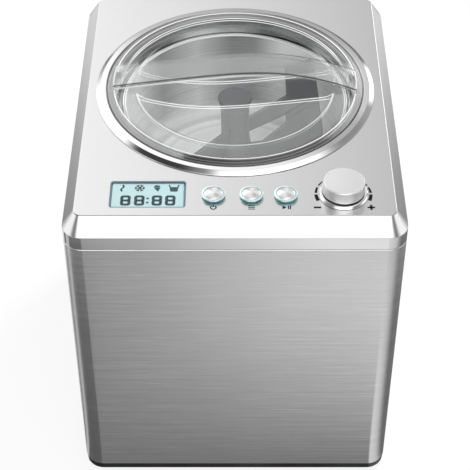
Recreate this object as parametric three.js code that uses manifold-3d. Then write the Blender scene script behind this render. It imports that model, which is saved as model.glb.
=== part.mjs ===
// Counter-top ice cream maker with its own compressor. Millimetres, +Z up, front towards -Y,
// origin on the floor under the middle of the cabinet.
import * as THREE from "three";
import { mergeVertices } from "three/addons/utils/BufferGeometryUtils.js";
import Module from "manifold-3d";

const wasm = await Module();
wasm.setup();

// ---- Driving dimensions -------------------------------------------------------------------

// Cabinet
const sideMargin = 16.8; // deck beside the bezel, on either side
const rearMargin = 25.6; // deck behind the bezel
const controlStrip = 56; // deck in front of the bezel, with the controls
const deckHeight = 308; // floor to the flat top
const footHeight = 6; // how far the feet hold the base off the floor
const stripHeight = 7.3; // black strip of the base that shows under the steel
const chamferRun = 10; // the sloped edge round the deck, seen from above
const chamferDrop = 15;
const skirtDrop = 12; // straight side of the cover under its sloped edge
const partingGap = 0.6; // line between the cover and the steel wrap
const deckCorner = 6.5; // plan radius of the deck's own corners
const coverWall = 2;
const wrapWall = 1;
const panWall = 2.2;
const panelWall = 2.6;
const wrapReturn = 20; // how far the wrap folds round behind
const fitGap = 0.3; // between two pieces that touch

// Well, bezel and lid, round one upright axis
const wellMargin = 8; // from the bowl's rim to the edge of the opening in the deck
const collarFlangeWidth = 7.1; // how far the collar lies out on the deck
const bezelLand = 5; // flat top of the bezel, outside the lid
const bezelSlope = 4;
const bezelRise = 3;
const lidOverlap = 4.2; // how far the lid reaches over the deck
const lidEdgeRise = 2.8;
const lidEdgeWall = 1.2;
const lidEdgeWidth = 5.7; // from the lid's edge in to its raised lip
const lipRise = 5.8;
const shelfRise = 4.5;
const lidWall = 2.2;
const lidPlugGap = 3.3; // round the wall under the lid that drops into the collar
const lidPlugDrop = 5;
const shelfWidth = 20.5; // from the lip in to the finger pockets either side of the bar
const pocketFillet = 5;
const pocketRim = 1; // height of the dished floor over the deck at its outer edge
const pocketDepth = 8; // depth of the dished floor under the deck, in the middle
const barEndRise = 8;
const barCrownRise = 23.5;
const barTopWidth = 30.6;
const barFootWidth = 33.6;
const barShift = 0.8; // the bar's middle behind the well's axis
const barSway = 4.3; // sideways swing of the bar's S, each way
const barSlant = 0.028; // tangent of the angle that the lid is turned by
const lugWidth = 6; // the tabs inside the lid's wall that centre it
const lugDepth = 3.5;
const lugHeight = 6;
const collarFlange = 1;
const collarWall = 2;

// Bowl, paddle and cooling barrel
const rimDrop = 12; // bowl rim under the deck
const rimWidth = 3.9;
const rimWall = 1.8;
const bowlRadius = 94.1;
const bowlWall = 1.2;
const bowlDepth = 84;
const bowlFloor = 1.5;
const bowlFillet = 13;
const bowlDraft = 1;
const chimneyHeight = 38;
const chimneyBore = 7.2;
const chimneyWall = 1.6;
const barrelClearance = 1.2;
const barrelWall = 1.6;
const barrelFlange = 6.2; // how far the barrel's flange stands out past the bowl's rim
const coilTube = 6;
const coilTurns = 4;
const coilStand = 4.2; // the coil stands this far off the barrel, where its bends are widest
const coilRoom = 1.4; // and this far inside the jacket
const jacketWall = 8;
const jacketFloor = 12;
const hubTopRadius = 13.8;
const hubRadius = 12.4;
const hubTopDrop = 1; // hub's top over the bowl's rim
const bladeLift = 2; // blades and hub over the bowl's floor
const bladeAngle = 30; // degrees, from +X towards the back
const bladeGap = 4.1; // from the blades to the bowl's wall
const bladeWall = 3.6;
const bladeHeight = 56; // arm's top edge over the bowl's floor
const scraperHeight = 80.5;
const scraperInner = 54;
const bladeLean = 0.32; // sideways lean of the blades for each millimetre of height

// Drive
const shaftRadius = 5.5;
const hexAcross = 9;
const hexLength = 10;
const gearModule = 2.5;
const wheelTeeth = 30;
const pinionTeeth = 10;
const wheelFace = 8;
const wheelTip = 0.8; // tooth tips over the pitch circle, in modules
const toothRoot = 1.25; // tooth roots under it, in modules
const toothSlack = 0.35; // play between the teeth, on the pitch circle
const layerPitch = 12; // from one layer of gears to the next
const gearboxWall = 2.5;
const gearboxCoverWall = 3;
const motorRadius = 31;
const motorHeight = 57;
const motorShaftRadius = 2.9;
const idlerPinRadius = 3;
const framePlate = 2;
const frameLeg = 18;
const frameMargin = 18; // from the cabinet's sides to the frame
const frameRearMargin = 29.8;

// Cooling circuit
const compressorSide = 78; // from the cabinet's left side to the compressor's middle
const compressorRear = 80; // and from its back
const compressorRadius = 50;
const compressorHeight = 112;
const relayWidth = 38;
const relayDepth = 20;
const relayHeight = 34;
const grommetHeight = 12;
const grommetPin = 2.6; // radius of the pan's pins that the grommets sit on
const mountWidth = 116;
const mountDepth = 60;
const fanSize = 120;
const fanThickness = 24;
const fanRim = 5; // least wall of the fan's frame round its duct
const fanHub = 18;
const fanBladeWall = 1.8;
const fanChord = 26; // width of a blade along its slope
const fanPitch = 55; // degrees that a blade leans over
const fanBlades = 7;
const condenserThickness = 26;
const condenserStand = 11; // from the inside of the steel wrap to the condenser
const condenserForward = 10.2; // from the well's axis to the condenser's middle
const finPitch = 15;
const finWall = 3;
const pipeRadius = 3;
const capillaryRadius = 1.5;
const drierRadius = 8;
const drierLength = 60;

// Power board
const powerBoardSide = 88; // from the cabinet's left side to the board's middle
const powerBoardInset = 48; // and from its front
const powerBoardWidth = 96;
const powerBoardDepth = 64;
const standOff = 8;
const transformerWidth = 34;
const transformerHeight = 26;
const capacitorHeight = 22;

// Controls
const displayX = -68.7;
const displayInset = 35; // from the cabinet's front to the middle of the display
const displayWidth = 59.4;
const displayDepth = 31.4;
const displayCorner = 2.5;
const windowWall = 2.6;
const powerX = -16.9;
const menuX = 12.9;
const startX = 40;
const buttonInset = 32.7;
const buttonRadius = 7.9;
const buttonRise = 2.4;
const buttonTravel = 1.2;
const ringRadius = 9.9;
const ringRise = 1.2;
const ringWall = 0.35;
const knobX = 85.3;
const knobInset = 35.5;
const knobRadius = 16.5;
const knobHeight = 11;
const knobCollarRadius = 19.75;
const knobCollarRise = 2;
const encoderShaftRadius = 3;
const boardDrop = 18; // control board's top under the deck
const boardWall = 1.6;
const boardMargin = 20; // from the cabinet's side to the end of the control board
const boardDepth = 42;
const bossRadius = 4;

// ---- Values worked out from them ----------------------------------------------------------

const rimRadius = bowlRadius + rimWidth;
const barrelFlangeRadius = rimRadius + barrelFlange;
const openingRadius = rimRadius + wellMargin;
const collarFlangeRadius = openingRadius + collarFlangeWidth;
const lidPlugRadius = openingRadius - fitGap - collarWall - lidPlugGap;
const lidRadius = openingRadius + lidOverlap;
const lipRadius = lidRadius - lidEdgeWidth;
const pocketRadius = lipRadius - shelfWidth;
const bezelCrest = lidRadius + bezelLand;
const bezelRadius = bezelCrest + bezelSlope;
const bladeRadius = bowlRadius - bladeGap;
const bodyWidth = 2 * (bezelRadius + sideMargin);
const bodyDepth = rearMargin + 2 * bezelRadius + controlStrip;
const bodyFront = -bodyDepth / 2;
const axisBack = bodyDepth / 2 - rearMargin - bezelRadius; // from the cabinet's middle to the well's axis
const bodyCorner = deckCorner + chamferRun;
const panFloorZ = footHeight;
const panFloorTop = panFloorZ + panWall;
const wrapBottom = footHeight + stripHeight;
const shoulderZ = deckHeight - chamferDrop;
const coverBottom = shoulderZ - skirtDrop;
const wrapTop = coverBottom - partingGap;
const coverLip = 8;
const rimTop = deckHeight - rimDrop;
const rimUnder = rimTop - rimWall;
const barrelTop = rimUnder - fitGap;
const bowlFloorTop = rimTop - bowlDepth;
const bowlUnder = bowlFloorTop - bowlFloor;
const barrelFloorTop = bowlUnder - fitGap;
const barrelUnder = barrelFloorTop - barrelWall;
const barrelRadius = bowlRadius + bowlWall + barrelClearance;
const coilRadius = barrelRadius + barrelWall + coilStand + coilTube / 2;
const jacketInner = coilRadius + coilTube / 2 + coilRoom;
const jacketOuter = jacketInner + jacketWall;
const jacketTop = barrelTop - barrelWall - fitGap;
const jacketFloorTop = barrelUnder - fitGap;
const jacketUnder = jacketFloorTop - jacketFloor;
const frameTop = jacketUnder - fitGap;
const frameUnder = frameTop - framePlate;
const frameWidth = bodyWidth - 2 * frameMargin;
const frameDepth = 2 * (bodyDepth / 2 - frameRearMargin - axisBack);
const coverTop = frameUnder - fitGap; // gearbox cover
const coverUnder = coverTop - gearboxCoverWall;
const upperWheelZ = coverUnder - 2 - wheelFace;
const lowerWheelZ = upperWheelZ - layerPitch;
const caseFloorTop = lowerWheelZ - 3;
const caseUnder = caseFloorTop - gearboxWall;
const caseTop = coverUnder - fitGap;
const motorTop = caseUnder - fitGap;
const wheelRadius = (gearModule * wheelTeeth) / 2;
const pinionRadius = (gearModule * pinionTeeth) / 2;
const gearCentres = wheelRadius + pinionRadius;
const idlerY = axisBack - gearCentres;
const gearboxRadius = wheelRadius + wheelTip * gearModule + 2 + gearboxWall;
const displayRow = bodyFront + displayInset;
const buttonRow = bodyFront + buttonInset;
const knobRow = bodyFront + knobInset;
const boardTop = deckHeight - boardDrop;
const boardY = displayRow - 3;
const boardWidth = bodyWidth - 2 * boardMargin;
const deckUnder = deckHeight - coverWall;
const machineFloor = panFloorTop + fitGap;
const condenserX = bodyWidth / 2 - wrapWall - condenserStand - condenserThickness / 2;
const fanX = condenserX - condenserThickness / 2 - fitGap - fanThickness / 2;
const airZ = machineFloor + fanSize / 2;
const fanDuct = fanSize / 2 - fanRim;
const condenserY = axisBack - condenserForward;
const compressorX = compressorSide - bodyWidth / 2;
const compressorY = bodyDepth / 2 - compressorRear;

// ---- Shape tools --------------------------------------------------------------------------

// Sides of a full circle: the well's own pieces, machine parts and small parts.
const circleSteps = 24;
const machineSteps = 12;
const smallSteps = 10;
const tinySteps = 8;
const cornerSteps = 2;

// A closed geometry as a manifold solid: shared corners merged, faces of no width dropped.
function solid(geometry) {
  const bare = geometry.clone();
  bare.deleteAttribute("normal");
  bare.deleteAttribute("uv");
  const merged = mergeVertices(bare, 1e-4);
  const faces = [];
  for (let i = 0; i < merged.index.count; i += 3) {
    const [a, b, c] = [0, 1, 2].map((k) => merged.index.getX(i + k));
    if (a !== b && b !== c && c !== a) faces.push([a, b, c]);
  }
  const build = (list) =>
    new wasm.Manifold(
      new wasm.Mesh({
        numProp: 3,
        vertProperties: new Float32Array(merged.attributes.position.array),
        triVerts: Uint32Array.from(list.flat()),
      }),
    );
  const made = build(faces);
  return made.volume() < 0 ? build(faces.map(([a, b, c]) => [a, c, b])) : made;
}

// A manifold solid back as a geometry for a mesh.
function geometryOf(made) {
  const mesh = made.getMesh();
  const corners = new Float32Array(mesh.numVert * 3);
  for (let i = 0; i < mesh.numVert; i += 1) {
    const from = i * mesh.numProp;
    corners.set(mesh.vertProperties.subarray(from, from + 3), i * 3);
  }
  const geometry = new THREE.BufferGeometry();
  geometry.setAttribute("position", new THREE.BufferAttribute(corners, 3));
  geometry.setIndex(new THREE.BufferAttribute(mesh.triVerts, 1));
  geometry.computeVertexNormals();
  return geometry;
}

const joined = (...pieces) => pieces.reduce((a, b) => a.add(b));
const cut = (piece, ...tools) => tools.reduce((a, b) => a.subtract(b), piece);

// A box centred on x and y, standing on z.
function box(width, depth, height, x, y, z) {
  const made = new THREE.BoxGeometry(width, depth, height);
  return solid(made.translate(x, y, z + height / 2));
}

// An upright cylinder standing on z.
function cylinder(radius, height, x, y, z, steps = smallSteps) {
  const made = new THREE.CylinderGeometry(radius, radius, height, steps);
  return solid(made.rotateX(Math.PI / 2).translate(x, y, z + height / 2));
}

// A cylinder lying along X or Y, centred on the point given.
function lyingCylinder(axis, radius, length, x, y, z, steps = smallSteps) {
  const made = new THREE.CylinderGeometry(radius, radius, length, steps);
  if (axis === "x") made.rotateZ(Math.PI / 2);
  return solid(made.translate(x, y, z));
}

// A profile of [radius, height] points turned about the upright line through x and y.
function turned(profile, x, y, steps = circleSteps) {
  const points = [...profile, profile[0]].map(([r, z]) => new THREE.Vector2(r, z));
  const made = new THREE.LatheGeometry(points, steps);
  return solid(made.rotateX(Math.PI / 2).translate(x, y, 0));
}

// A flat outline drawn up from z to z + height.
function prism(shape, z, height, steps = cornerSteps) {
  const options = { depth: height, bevelEnabled: false, curveSegments: steps };
  return solid(new THREE.ExtrudeGeometry(shape, options).translate(0, 0, z));
}

// A skin through outlines that have as many points as each other, closed at both ends.
function loft(sections, steps = cornerSteps) {
  const rings = sections.map(({ shape, z }) =>
    shape.getPoints(steps).map((p) => new THREE.Vector3(p.x, p.y, z)),
  );
  const count = rings[0].length;
  const index = [];
  for (let level = 0; level + 1 < rings.length; level += 1) {
    for (let j = 0; j < count; j += 1) {
      const k = (j + 1) % count;
      const low = level * count;
      const high = low + count;
      index.push(low + j, low + k, high + k, low + j, high + k, high + j);
    }
  }
  const last = (rings.length - 1) * count;
  for (const [a, b, c] of THREE.ShapeUtils.triangulateShape(rings[0], [])) {
    index.push(c, b, a);
  }
  for (const [a, b, c] of THREE.ShapeUtils.triangulateShape(rings.at(-1), [])) {
    index.push(last + a, last + b, last + c);
  }
  const made = new THREE.BufferGeometry().setFromPoints(rings.flat());
  made.setIndex(index);
  return solid(made);
}

// A tube of six sides along a smooth curve through points.
function pipe(points, radius, steps) {
  const curve = new THREE.CatmullRomCurve3(points.map((p) => new THREE.Vector3(...p)));
  const section = new THREE.Shape();
  section.absarc(0, 0, radius, 0, 2 * Math.PI);
  const options = { steps, extrudePath: curve, curveSegments: 3, bevelEnabled: false };
  return solid(new THREE.ExtrudeGeometry(section, options));
}

// A rectangle with round corners, centred on x and y.
function roundedRect(width, depth, radius, x = 0, y = 0) {
  const dx = width / 2 - radius;
  const dy = depth / 2 - radius;
  const quarter = Math.PI / 2;
  const shape = new THREE.Shape();
  shape.absarc(x + dx, y + dy, radius, 0, quarter);
  shape.absarc(x - dx, y + dy, radius, quarter, 2 * quarter);
  shape.absarc(x - dx, y - dy, radius, 2 * quarter, 3 * quarter);
  shape.absarc(x + dx, y - dy, radius, 3 * quarter, 4 * quarter);
  return shape;
}

// Points along an arc of a turned profile.
function arc(r, z, radius, from, to, steps) {
  return Array.from({ length: steps + 1 }, (_, i) => {
    const angle = THREE.MathUtils.degToRad(from + ((to - from) * i) / steps);
    return [r + radius * Math.cos(angle), z + radius * Math.sin(angle)];
  });
}

// The plan of the cabinet drawn in by an inset, its corners with it.
const cabinetPlan = (inset) =>
  roundedRect(bodyWidth - 2 * inset, bodyDepth - 2 * inset, bodyCorner - inset);

const model = new THREE.Group();

function add(name, made, colour, roughness, metalness = 0) {
  const material = new THREE.MeshStandardMaterial({ color: colour, roughness, metalness });
  const mesh = new THREE.Mesh(geometryOf(made), material);
  mesh.name = name;
  model.add(mesh);
}

// ---- Base and feet ------------------------------------------------------------------------

const footInset = 22;
const footRadius = 11;
const footStub = 4;
const panRim = 22; // height of the pan's wall over its floor
const panInset = 0.6; // the black strip stands this far in from the steel
const cornerSigns = [
  ["front_left", -1, -1],
  ["front_right", 1, -1],
  ["rear_left", -1, 1],
  ["rear_right", 1, 1],
];
const footPlace = (sx, sy) => [
  sx * (bodyWidth / 2 - footInset),
  sy * (bodyDepth / 2 - footInset),
];
const grommetPlaces = cornerSigns.map(([name, sx, sy]) => [
  name,
  compressorX + sx * (mountWidth / 2 - 8),
  compressorY + sy * (mountDepth / 2 - 8),
]);

function basePan() {
  const inset = wrapWall + fitGap;
  const outer = joined(
    prism(cabinetPlan(panInset), panFloorZ, stripHeight - fitGap),
    prism(cabinetPlan(inset), panFloorZ, panRim + panWall),
  );
  const hollow = prism(cabinetPlan(inset + panWall), panFloorTop, panRim + 1);
  const pins = grommetPlaces.map(([, x, y]) =>
    cylinder(grommetPin, grommetHeight + 6, x, y, panFloorTop - 0.5, tinySteps),
  );
  const sockets = cornerSigns.map(([, sx, sy]) => {
    const [x, y] = footPlace(sx, sy);
    return cylinder(footStub + fitGap, panWall + 2, x, y, panFloorZ - 1);
  });
  const intake = Array.from({ length: 5 }, (_, i) =>
    box(60, 3, panWall + 2, 20, -60 + 8 * i, panFloorZ - 1),
  );
  return cut(joined(cut(outer, hollow), ...pins), ...sockets, ...intake);
}

function foot(x, y) {
  const top = panFloorZ - fitGap;
  const profile = [
    [0, 0],
    [footRadius, 0],
    [footRadius - 1, top],
    [footStub, top],
    [footStub, panFloorTop + 1],
    [0, panFloorTop + 1.6],
  ];
  return turned(profile, x, y, smallSteps);
}

add("base_pan", basePan(), 0x16171a, 0.25);
for (const [name, sx, sy] of cornerSigns) {
  add(`foot_${name}`, foot(...footPlace(sx, sy)), 0x202022, 0.85);
}

// ---- Steel wrap, rear panel and cover -----------------------------------------------------

const sideSlots = 8;
const slotPitch = 9;
const slotHeight = 3;

function bodyWrap() {
  const height = wrapTop - wrapBottom;
  const shell = cut(
    prism(cabinetPlan(0), wrapBottom, height),
    prism(cabinetPlan(wrapWall), wrapBottom - 1, height + 2),
  );
  const rearWidth = bodyWidth - 2 * (bodyCorner + wrapReturn);
  const rear = box(rearWidth, 8, height + 2, 0, bodyDepth / 2, wrapBottom - 1);
  const slots = [];
  for (let i = 0; i < sideSlots; i += 1) {
    const z = machineFloor + 26 + slotPitch * i;
    slots.push(box(bodyWidth + 10, 76, slotHeight, 0, condenserY, z));
  }
  return cut(shell, rear, ...slots);
}

const panelInset = wrapWall + fitGap;
const panelTop = coverBottom - coverLip - fitGap;
const panelBottom = panFloorTop + panRim + fitGap;
const glandX = 52 - bodyWidth / 2;
const glandZ = 52;
const glandRadius = 8;

function rearPanel() {
  const height = panelTop - panelBottom;
  const y = bodyDepth / 2 - panelInset - panelWall / 2;
  const width = bodyWidth - 2 * bodyCorner - 2;
  const plate = box(width, panelWall, height, 0, y, panelBottom);
  const raised = box(
    bodyWidth - 2 * (bodyCorner + wrapReturn + 1),
    panelInset + panelWall,
    height - 10,
    0,
    bodyDepth / 2 - (panelInset + panelWall) / 2,
    panelBottom + 5,
  );
  const slots = [];
  for (const [z, count] of [
    [panelBottom + 60, 5],
    [panelTop - 56, 4],
  ]) {
    for (let i = 0; i < count; i += 1) {
      for (const x of [-38, 38]) {
        slots.push(box(62, 12, slotHeight, x, y, z + slotPitch * i));
      }
    }
  }
  const inlet = lyingCylinder("y", glandRadius + fitGap, 14, glandX, y, glandZ);
  const seat = lyingCylinder("y", glandRadius + 5, 3.2, glandX, bodyDepth / 2, glandZ);
  return cut(joined(plate, raised), inlet, seat, ...slots);
}

// Boss places for the control board, under the deck.
const boardBosses = cornerSigns.map(([, sx, sy]) => [
  sx * (boardWidth / 2 - 6),
  boardY + sy * (boardDepth / 2 - 5),
]);

// The cover's outer or inner form: straight skirt, sloped edge and flat deck, each face of it
// drawn in by the same inset.
function coverSolid(inset, bottom) {
  const slope = chamferDrop / chamferRun;
  const width = bodyWidth - 2 * inset;
  const depth = bodyDepth - 2 * inset;
  const top = deckHeight - inset;
  const run = chamferRun - inset * (1 - (Math.hypot(1, slope) - 1) / slope);
  return loft([
    { shape: roundedRect(width, depth, bodyCorner - inset), z: bottom },
    { shape: roundedRect(width, depth, bodyCorner - inset), z: top - run * slope },
    {
      shape: roundedRect(width - 2 * run, depth - 2 * run, bodyCorner - inset - run),
      z: top,
    },
  ]);
}

function topCover() {
  const shell = cut(
    coverSolid(0, coverBottom),
    coverSolid(coverWall, coverBottom - 1),
  );
  const lipInset = wrapWall + fitGap;
  const lip = cut(
    prism(cabinetPlan(lipInset), coverBottom - coverLip, coverLip + 5),
    prism(cabinetPlan(lipInset + 1.6), coverBottom - coverLip - 1, coverLip + 7),
  );
  const bosses = boardBosses.map(([x, y]) =>
    cylinder(bossRadius, deckUnder - boardTop - fitGap + 0.5, x, y, boardTop + fitGap, tinySteps),
  );
  const well = cylinder(openingRadius, 20, 0, axisBack, deckHeight - 10, circleSteps);
  const windowHole = prism(
    roundedRect(
      displayWidth + 2 * fitGap,
      displayDepth + 2 * fitGap,
      displayCorner + fitGap,
      displayX,
      displayRow,
    ),
    deckUnder - 1,
    coverWall + 2,
  );
  const buttonHoles = [powerX, menuX, startX].map((x) =>
    cylinder(buttonRadius + ringWall + 3 * fitGap, 10, x, buttonRow, deckHeight - 6, 16),
  );
  const knobHole = cylinder(5.2, 10, knobX, knobRow, deckHeight - 6);
  return cut(joined(shell, lip, ...bosses), well, windowHole, ...buttonHoles, knobHole);
}

add("body_wrap", bodyWrap(), 0xb9bbbd, 0.35, 0.9);
add("rear_panel", rearPanel(), 0x8d9094, 0.6);
add("top_cover", topCover(), 0xd2d4d6, 0.4, 0.4);

// A flanged sleeve that a mains lead would come through.
function cordGland() {
  const flange = 1.1;
  const made = new THREE.LatheGeometry(
    [
      [4.2, 0],
      [glandRadius + 4, 0],
      [glandRadius + 4, flange],
      [glandRadius, flange],
      [glandRadius - 0.6, 9],
      [4.2, 9],
      [4.2, 0],
    ].map(([r, y]) => new THREE.Vector2(r, y)),
    smallSteps,
  );
  return solid(made.rotateX(Math.PI).translate(glandX, bodyDepth / 2 - 0.2, glandZ));
}

add("cord_gland", cordGland(), 0x1c1c1e, 0.7);

// ---- Bezel, collar and lid ----------------------------------------------------------------

function bezelRing() {
  const foot = deckHeight + fitGap;
  const crest = deckHeight + bezelRise;
  const under = deckHeight + fitGap + collarFlange + fitGap;
  const inner = lidRadius + fitGap;
  const profile = [
    [bezelRadius, foot],
    [bezelRadius - 0.3, foot + 0.5],
    [bezelCrest, crest],
    [inner, crest],
    [inner, under],
    [collarFlangeRadius + fitGap, under],
    [collarFlangeRadius + fitGap, foot],
  ];
  return turned(profile, 0, axisBack);
}

function wellCollar() {
  const top = deckHeight + fitGap + collarFlange;
  const foot = barrelTop + fitGap;
  const wall = openingRadius - fitGap;
  const throat = wall - collarWall;
  const mouth = rimRadius + 1.2;
  const profile = [
    [collarFlangeRadius, top - collarFlange],
    [collarFlangeRadius, top],
    [throat + 0.5, top],
    [throat, top - 1.2],
    [mouth, foot],
    [mouth + collarWall, foot],
    [wall, deckUnder - 3],
    [wall, top - collarFlange],
  ];
  return turned(profile, 0, axisBack);
}

// The lid's upper or lower skin as a solid reaching down to floorZ. The skin lies inset
// inside the outer one.
function lidDish(inset, edge, floorZ) {
  const deep = deckHeight - pocketDepth - inset;
  const rise = pocketDepth + pocketRim;
  const floorEdge = pocketRadius - pocketFillet + inset;
  const dish = Array.from({ length: 4 }, (_, i) => {
    const r = floorEdge * Math.sqrt((i + 1) / 4);
    return [r, deep + rise * (r / floorEdge) ** 2];
  });
  const shelf = deckHeight + shelfRise - inset;
  const profile = [
    [0, floorZ],
    [0, deep],
    ...dish,
    [pocketRadius - 1 + inset * 0.6, shelf - 0.8],
    [pocketRadius + 2, shelf],
    [lipRadius - 4.5, shelf + 0.1],
    ...edge,
  ];
  return turned(profile, 0, axisBack);
}

// The bar's middle line over the plan: one swing each way, and the slant of the turned lid.
const barMiddle = (x) =>
  axisBack + barShift + barSway * Math.sin((Math.PI * x) / lipRadius) - barSlant * x;

// The bar as a solid down to floorZ: an arch seen from the front, an S seen from above, with
// sides that lean in towards the top.
function lidBar(inset, floorZ) {
  const steps = 10;
  const reach = lipRadius + 4;
  const along = Array.from({ length: steps + 1 }, (_, i) => -reach + (2 * reach * i) / steps);
  const topZ = deckHeight + barCrownRise;
  const archRise = barCrownRise - barEndRise;
  const elevation = new THREE.Shape();
  elevation.moveTo(-reach, floorZ);
  elevation.lineTo(reach, floorZ);
  for (const x of [...along].reverse()) {
    elevation.lineTo(x, topZ - inset - archRise * (x / lipRadius) ** 2);
  }
  const archBody = solid(
    new THREE.ExtrudeGeometry(elevation, { depth: 60, bevelEnabled: false })
      .rotateX(Math.PI / 2)
      .translate(0, axisBack + 30, 0),
  );
  const plan = (width) => {
    const shape = new THREE.Shape();
    const half = width / 2 - inset;
    shape.moveTo(-reach, barMiddle(-reach) - half);
    for (const x of along.slice(1)) shape.lineTo(x, barMiddle(x) - half);
    for (const x of [...along].reverse()) shape.lineTo(x, barMiddle(x) + half);
    return shape;
  };
  const planBody = loft([
    { shape: plan(barFootWidth), z: floorZ },
    { shape: plan(barTopWidth), z: topZ + 1 },
  ]);
  const round = cylinder(
    lipRadius - 0.3 - inset,
    topZ - floorZ + 2,
    0,
    axisBack,
    floorZ,
    circleSteps,
  );
  return archBody.intersect(planBody).intersect(round);
}

function lid() {
  const floorZ = deckHeight - 25;
  const edgeTop = deckHeight + lidEdgeRise;
  const edgeUnder = edgeTop - lidEdgeWall;
  const lip = deckHeight + lipRise;
  const plugFoot = deckHeight - lidPlugDrop;
  const outerEdge = [
    [lipRadius - 1.6, lip - 0.5],
    [lipRadius, lip],
    [lidRadius, edgeTop],
    [lidRadius, edgeUnder],
    [lidPlugRadius, edgeUnder],
    [lidPlugRadius, floorZ],
  ];
  const innerWall = lidPlugRadius - lidWall;
  const outer = lidDish(0, outerEdge, floorZ).add(lidBar(0, floorZ));
  const innerEdge = [
    [innerWall, deckHeight + shelfRise - lidWall + 0.1],
    [innerWall, floorZ - 1],
    [0, floorZ - 1],
  ];
  const inner = lidDish(lidWall, innerEdge, floorZ - 1).add(lidBar(lidWall, floorZ - 1));
  const trim = turned(
    [
      [pocketRadius + 3, floorZ - 2],
      [lidRadius + 5, floorZ - 2],
      [lidRadius + 5, edgeUnder],
      [lidPlugRadius, edgeUnder],
      [lidPlugRadius, plugFoot],
      [pocketRadius + 3, plugFoot],
    ],
    0,
    axisBack,
  );
  const lugs = [45, 135, 225, 315].map((degrees) => {
    const made = new THREE.BoxGeometry(lugDepth, lugWidth, lugHeight);
    made.translate(innerWall + 0.9 - lugDepth / 2, 0, plugFoot + lugHeight / 2);
    made.rotateZ(THREE.MathUtils.degToRad(degrees)).translate(0, axisBack, 0);
    return solid(made);
  });
  return joined(cut(outer, inner, trim), ...lugs);
}

add("bezel_ring", bezelRing(), 0xe4e6e8, 0.12, 1);
add("well_collar", wellCollar(), 0xd8dadc, 0.4);
add("lid", lid(), 0xdfe6ea, 0.05);

// ---- Bowl and paddle ----------------------------------------------------------------------

function bowl() {
  const low = bowlRadius - bowlDraft;
  const stepR = low - bowlFillet - 4;
  const chimneyOuter = chimneyBore + chimneyWall;
  const filletZ = bowlFloorTop + bowlFillet;
  const inside = arc(low - bowlFillet, filletZ, bowlFillet, 0, -90, 2);
  const outside = arc(low - bowlFillet, filletZ, bowlFillet + bowlFloor, -90, 0, 2);
  const profile = [
    [chimneyBore, bowlUnder],
    ...outside,
    [bowlRadius + bowlWall, rimUnder],
    [rimRadius, rimUnder],
    [rimRadius, rimTop - 0.5],
    [rimRadius - 0.6, rimTop],
    [bowlRadius, rimTop],
    ...inside,
    [stepR, bowlFloorTop],
    [stepR - 1, bowlFloorTop + 0.8],
    [chimneyOuter + 3, bowlFloorTop + 0.8],
    [chimneyOuter + 0.9, bowlFloorTop + 1.9],
    [chimneyOuter, bowlFloorTop + chimneyHeight],
    [chimneyBore, bowlFloorTop + chimneyHeight],
  ];
  return turned(profile, 0, axisBack);
}

const bladeFoot = bowlFloorTop + bladeLift;
const hexTop = bowlFloorTop + chimneyHeight + 2 + hexLength;
const hexRadius = hexAcross / Math.sqrt(3);

// One blade seen square on: radius along x, height along y.
function blade(points, windowPoints) {
  const shape = new THREE.Shape(points.map(([r, z]) => new THREE.Vector2(r, z)));
  if (windowPoints) {
    shape.holes.push(new THREE.Path(windowPoints.map(([r, z]) => new THREE.Vector2(r, z))));
  }
  const made = new THREE.ExtrudeGeometry(shape, { depth: bladeWall, bevelEnabled: false });
  made.rotateX(Math.PI / 2).translate(0, bladeWall / 2, 0);
  const lean = new THREE.Matrix4().makeShear(0, 0, 0, 0, 0, bladeLean);
  made.translate(0, 0, -bladeFoot - bladeHeight / 2).applyMatrix4(lean);
  return made.translate(0, 0, bladeFoot + bladeHeight / 2);
}

function paddle() {
  const top = rimTop + hubTopDrop;
  const foot = bladeFoot;
  const profile = [
    [0, foot],
    [hubRadius + 5, foot],
    [hubRadius + 5, foot + 3],
    [hubRadius, foot + 16],
    [hubTopRadius, top - 1.2],
    [hubTopRadius - 1.2, top],
    [0, top],
  ];
  const armTop = foot + bladeHeight;
  const scraperTop = foot + scraperHeight;
  const reach = bladeRadius;
  const long = blade(
    [
      [6, foot],
      [reach - bowlFillet, foot],
      [reach - 3, foot + 5],
      [reach, foot + 15],
      [reach, scraperTop - 4],
      [reach - 4, scraperTop],
      [scraperInner + 2, scraperTop],
      [scraperInner, scraperTop - 2],
      [scraperInner, armTop],
      [6, armTop],
    ],
    [
      [hubRadius + 6, foot + 8],
      [hubRadius + 10, foot + 6],
      [scraperInner - 2, foot + 34],
      [scraperInner - 4, foot + 40],
      [hubRadius + 6, foot + 26],
    ],
  ).rotateZ(THREE.MathUtils.degToRad(bladeAngle));
  const short = blade([
    [6, foot],
    [reach - bowlFillet - 4, foot],
    [reach - 6, foot + 6],
    [reach - 6, foot + 12],
    [hubRadius + 6, armTop - 2],
    [6, armTop],
  ]).rotateZ(THREE.MathUtils.degToRad(bladeAngle + 180));
  const body = joined(
    turned(profile, 0, axisBack, 24),
    solid(long.translate(0, axisBack, 0)),
    solid(short.translate(0, axisBack, 0)),
  );
  const boreTop = hexTop - hexLength + 0.5;
  const bore = cylinder(
    chimneyBore + chimneyWall + 1.3,
    boreTop - foot + 1,
    0,
    axisBack,
    foot - 1,
    24,
  );
  const socket = cylinder(hexRadius + 0.35, hexTop + 1 - boreTop, 0, axisBack, boreTop, 6);
  return cut(body, bore, socket);
}

add("bowl", bowl(), 0xc3c5c8, 0.35, 0.9);
add("paddle", paddle(), 0x9da2a6, 0.35);

// ---- Cooling barrel, coil and insulation --------------------------------------------------

const bearingRadius = 9.7;

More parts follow.
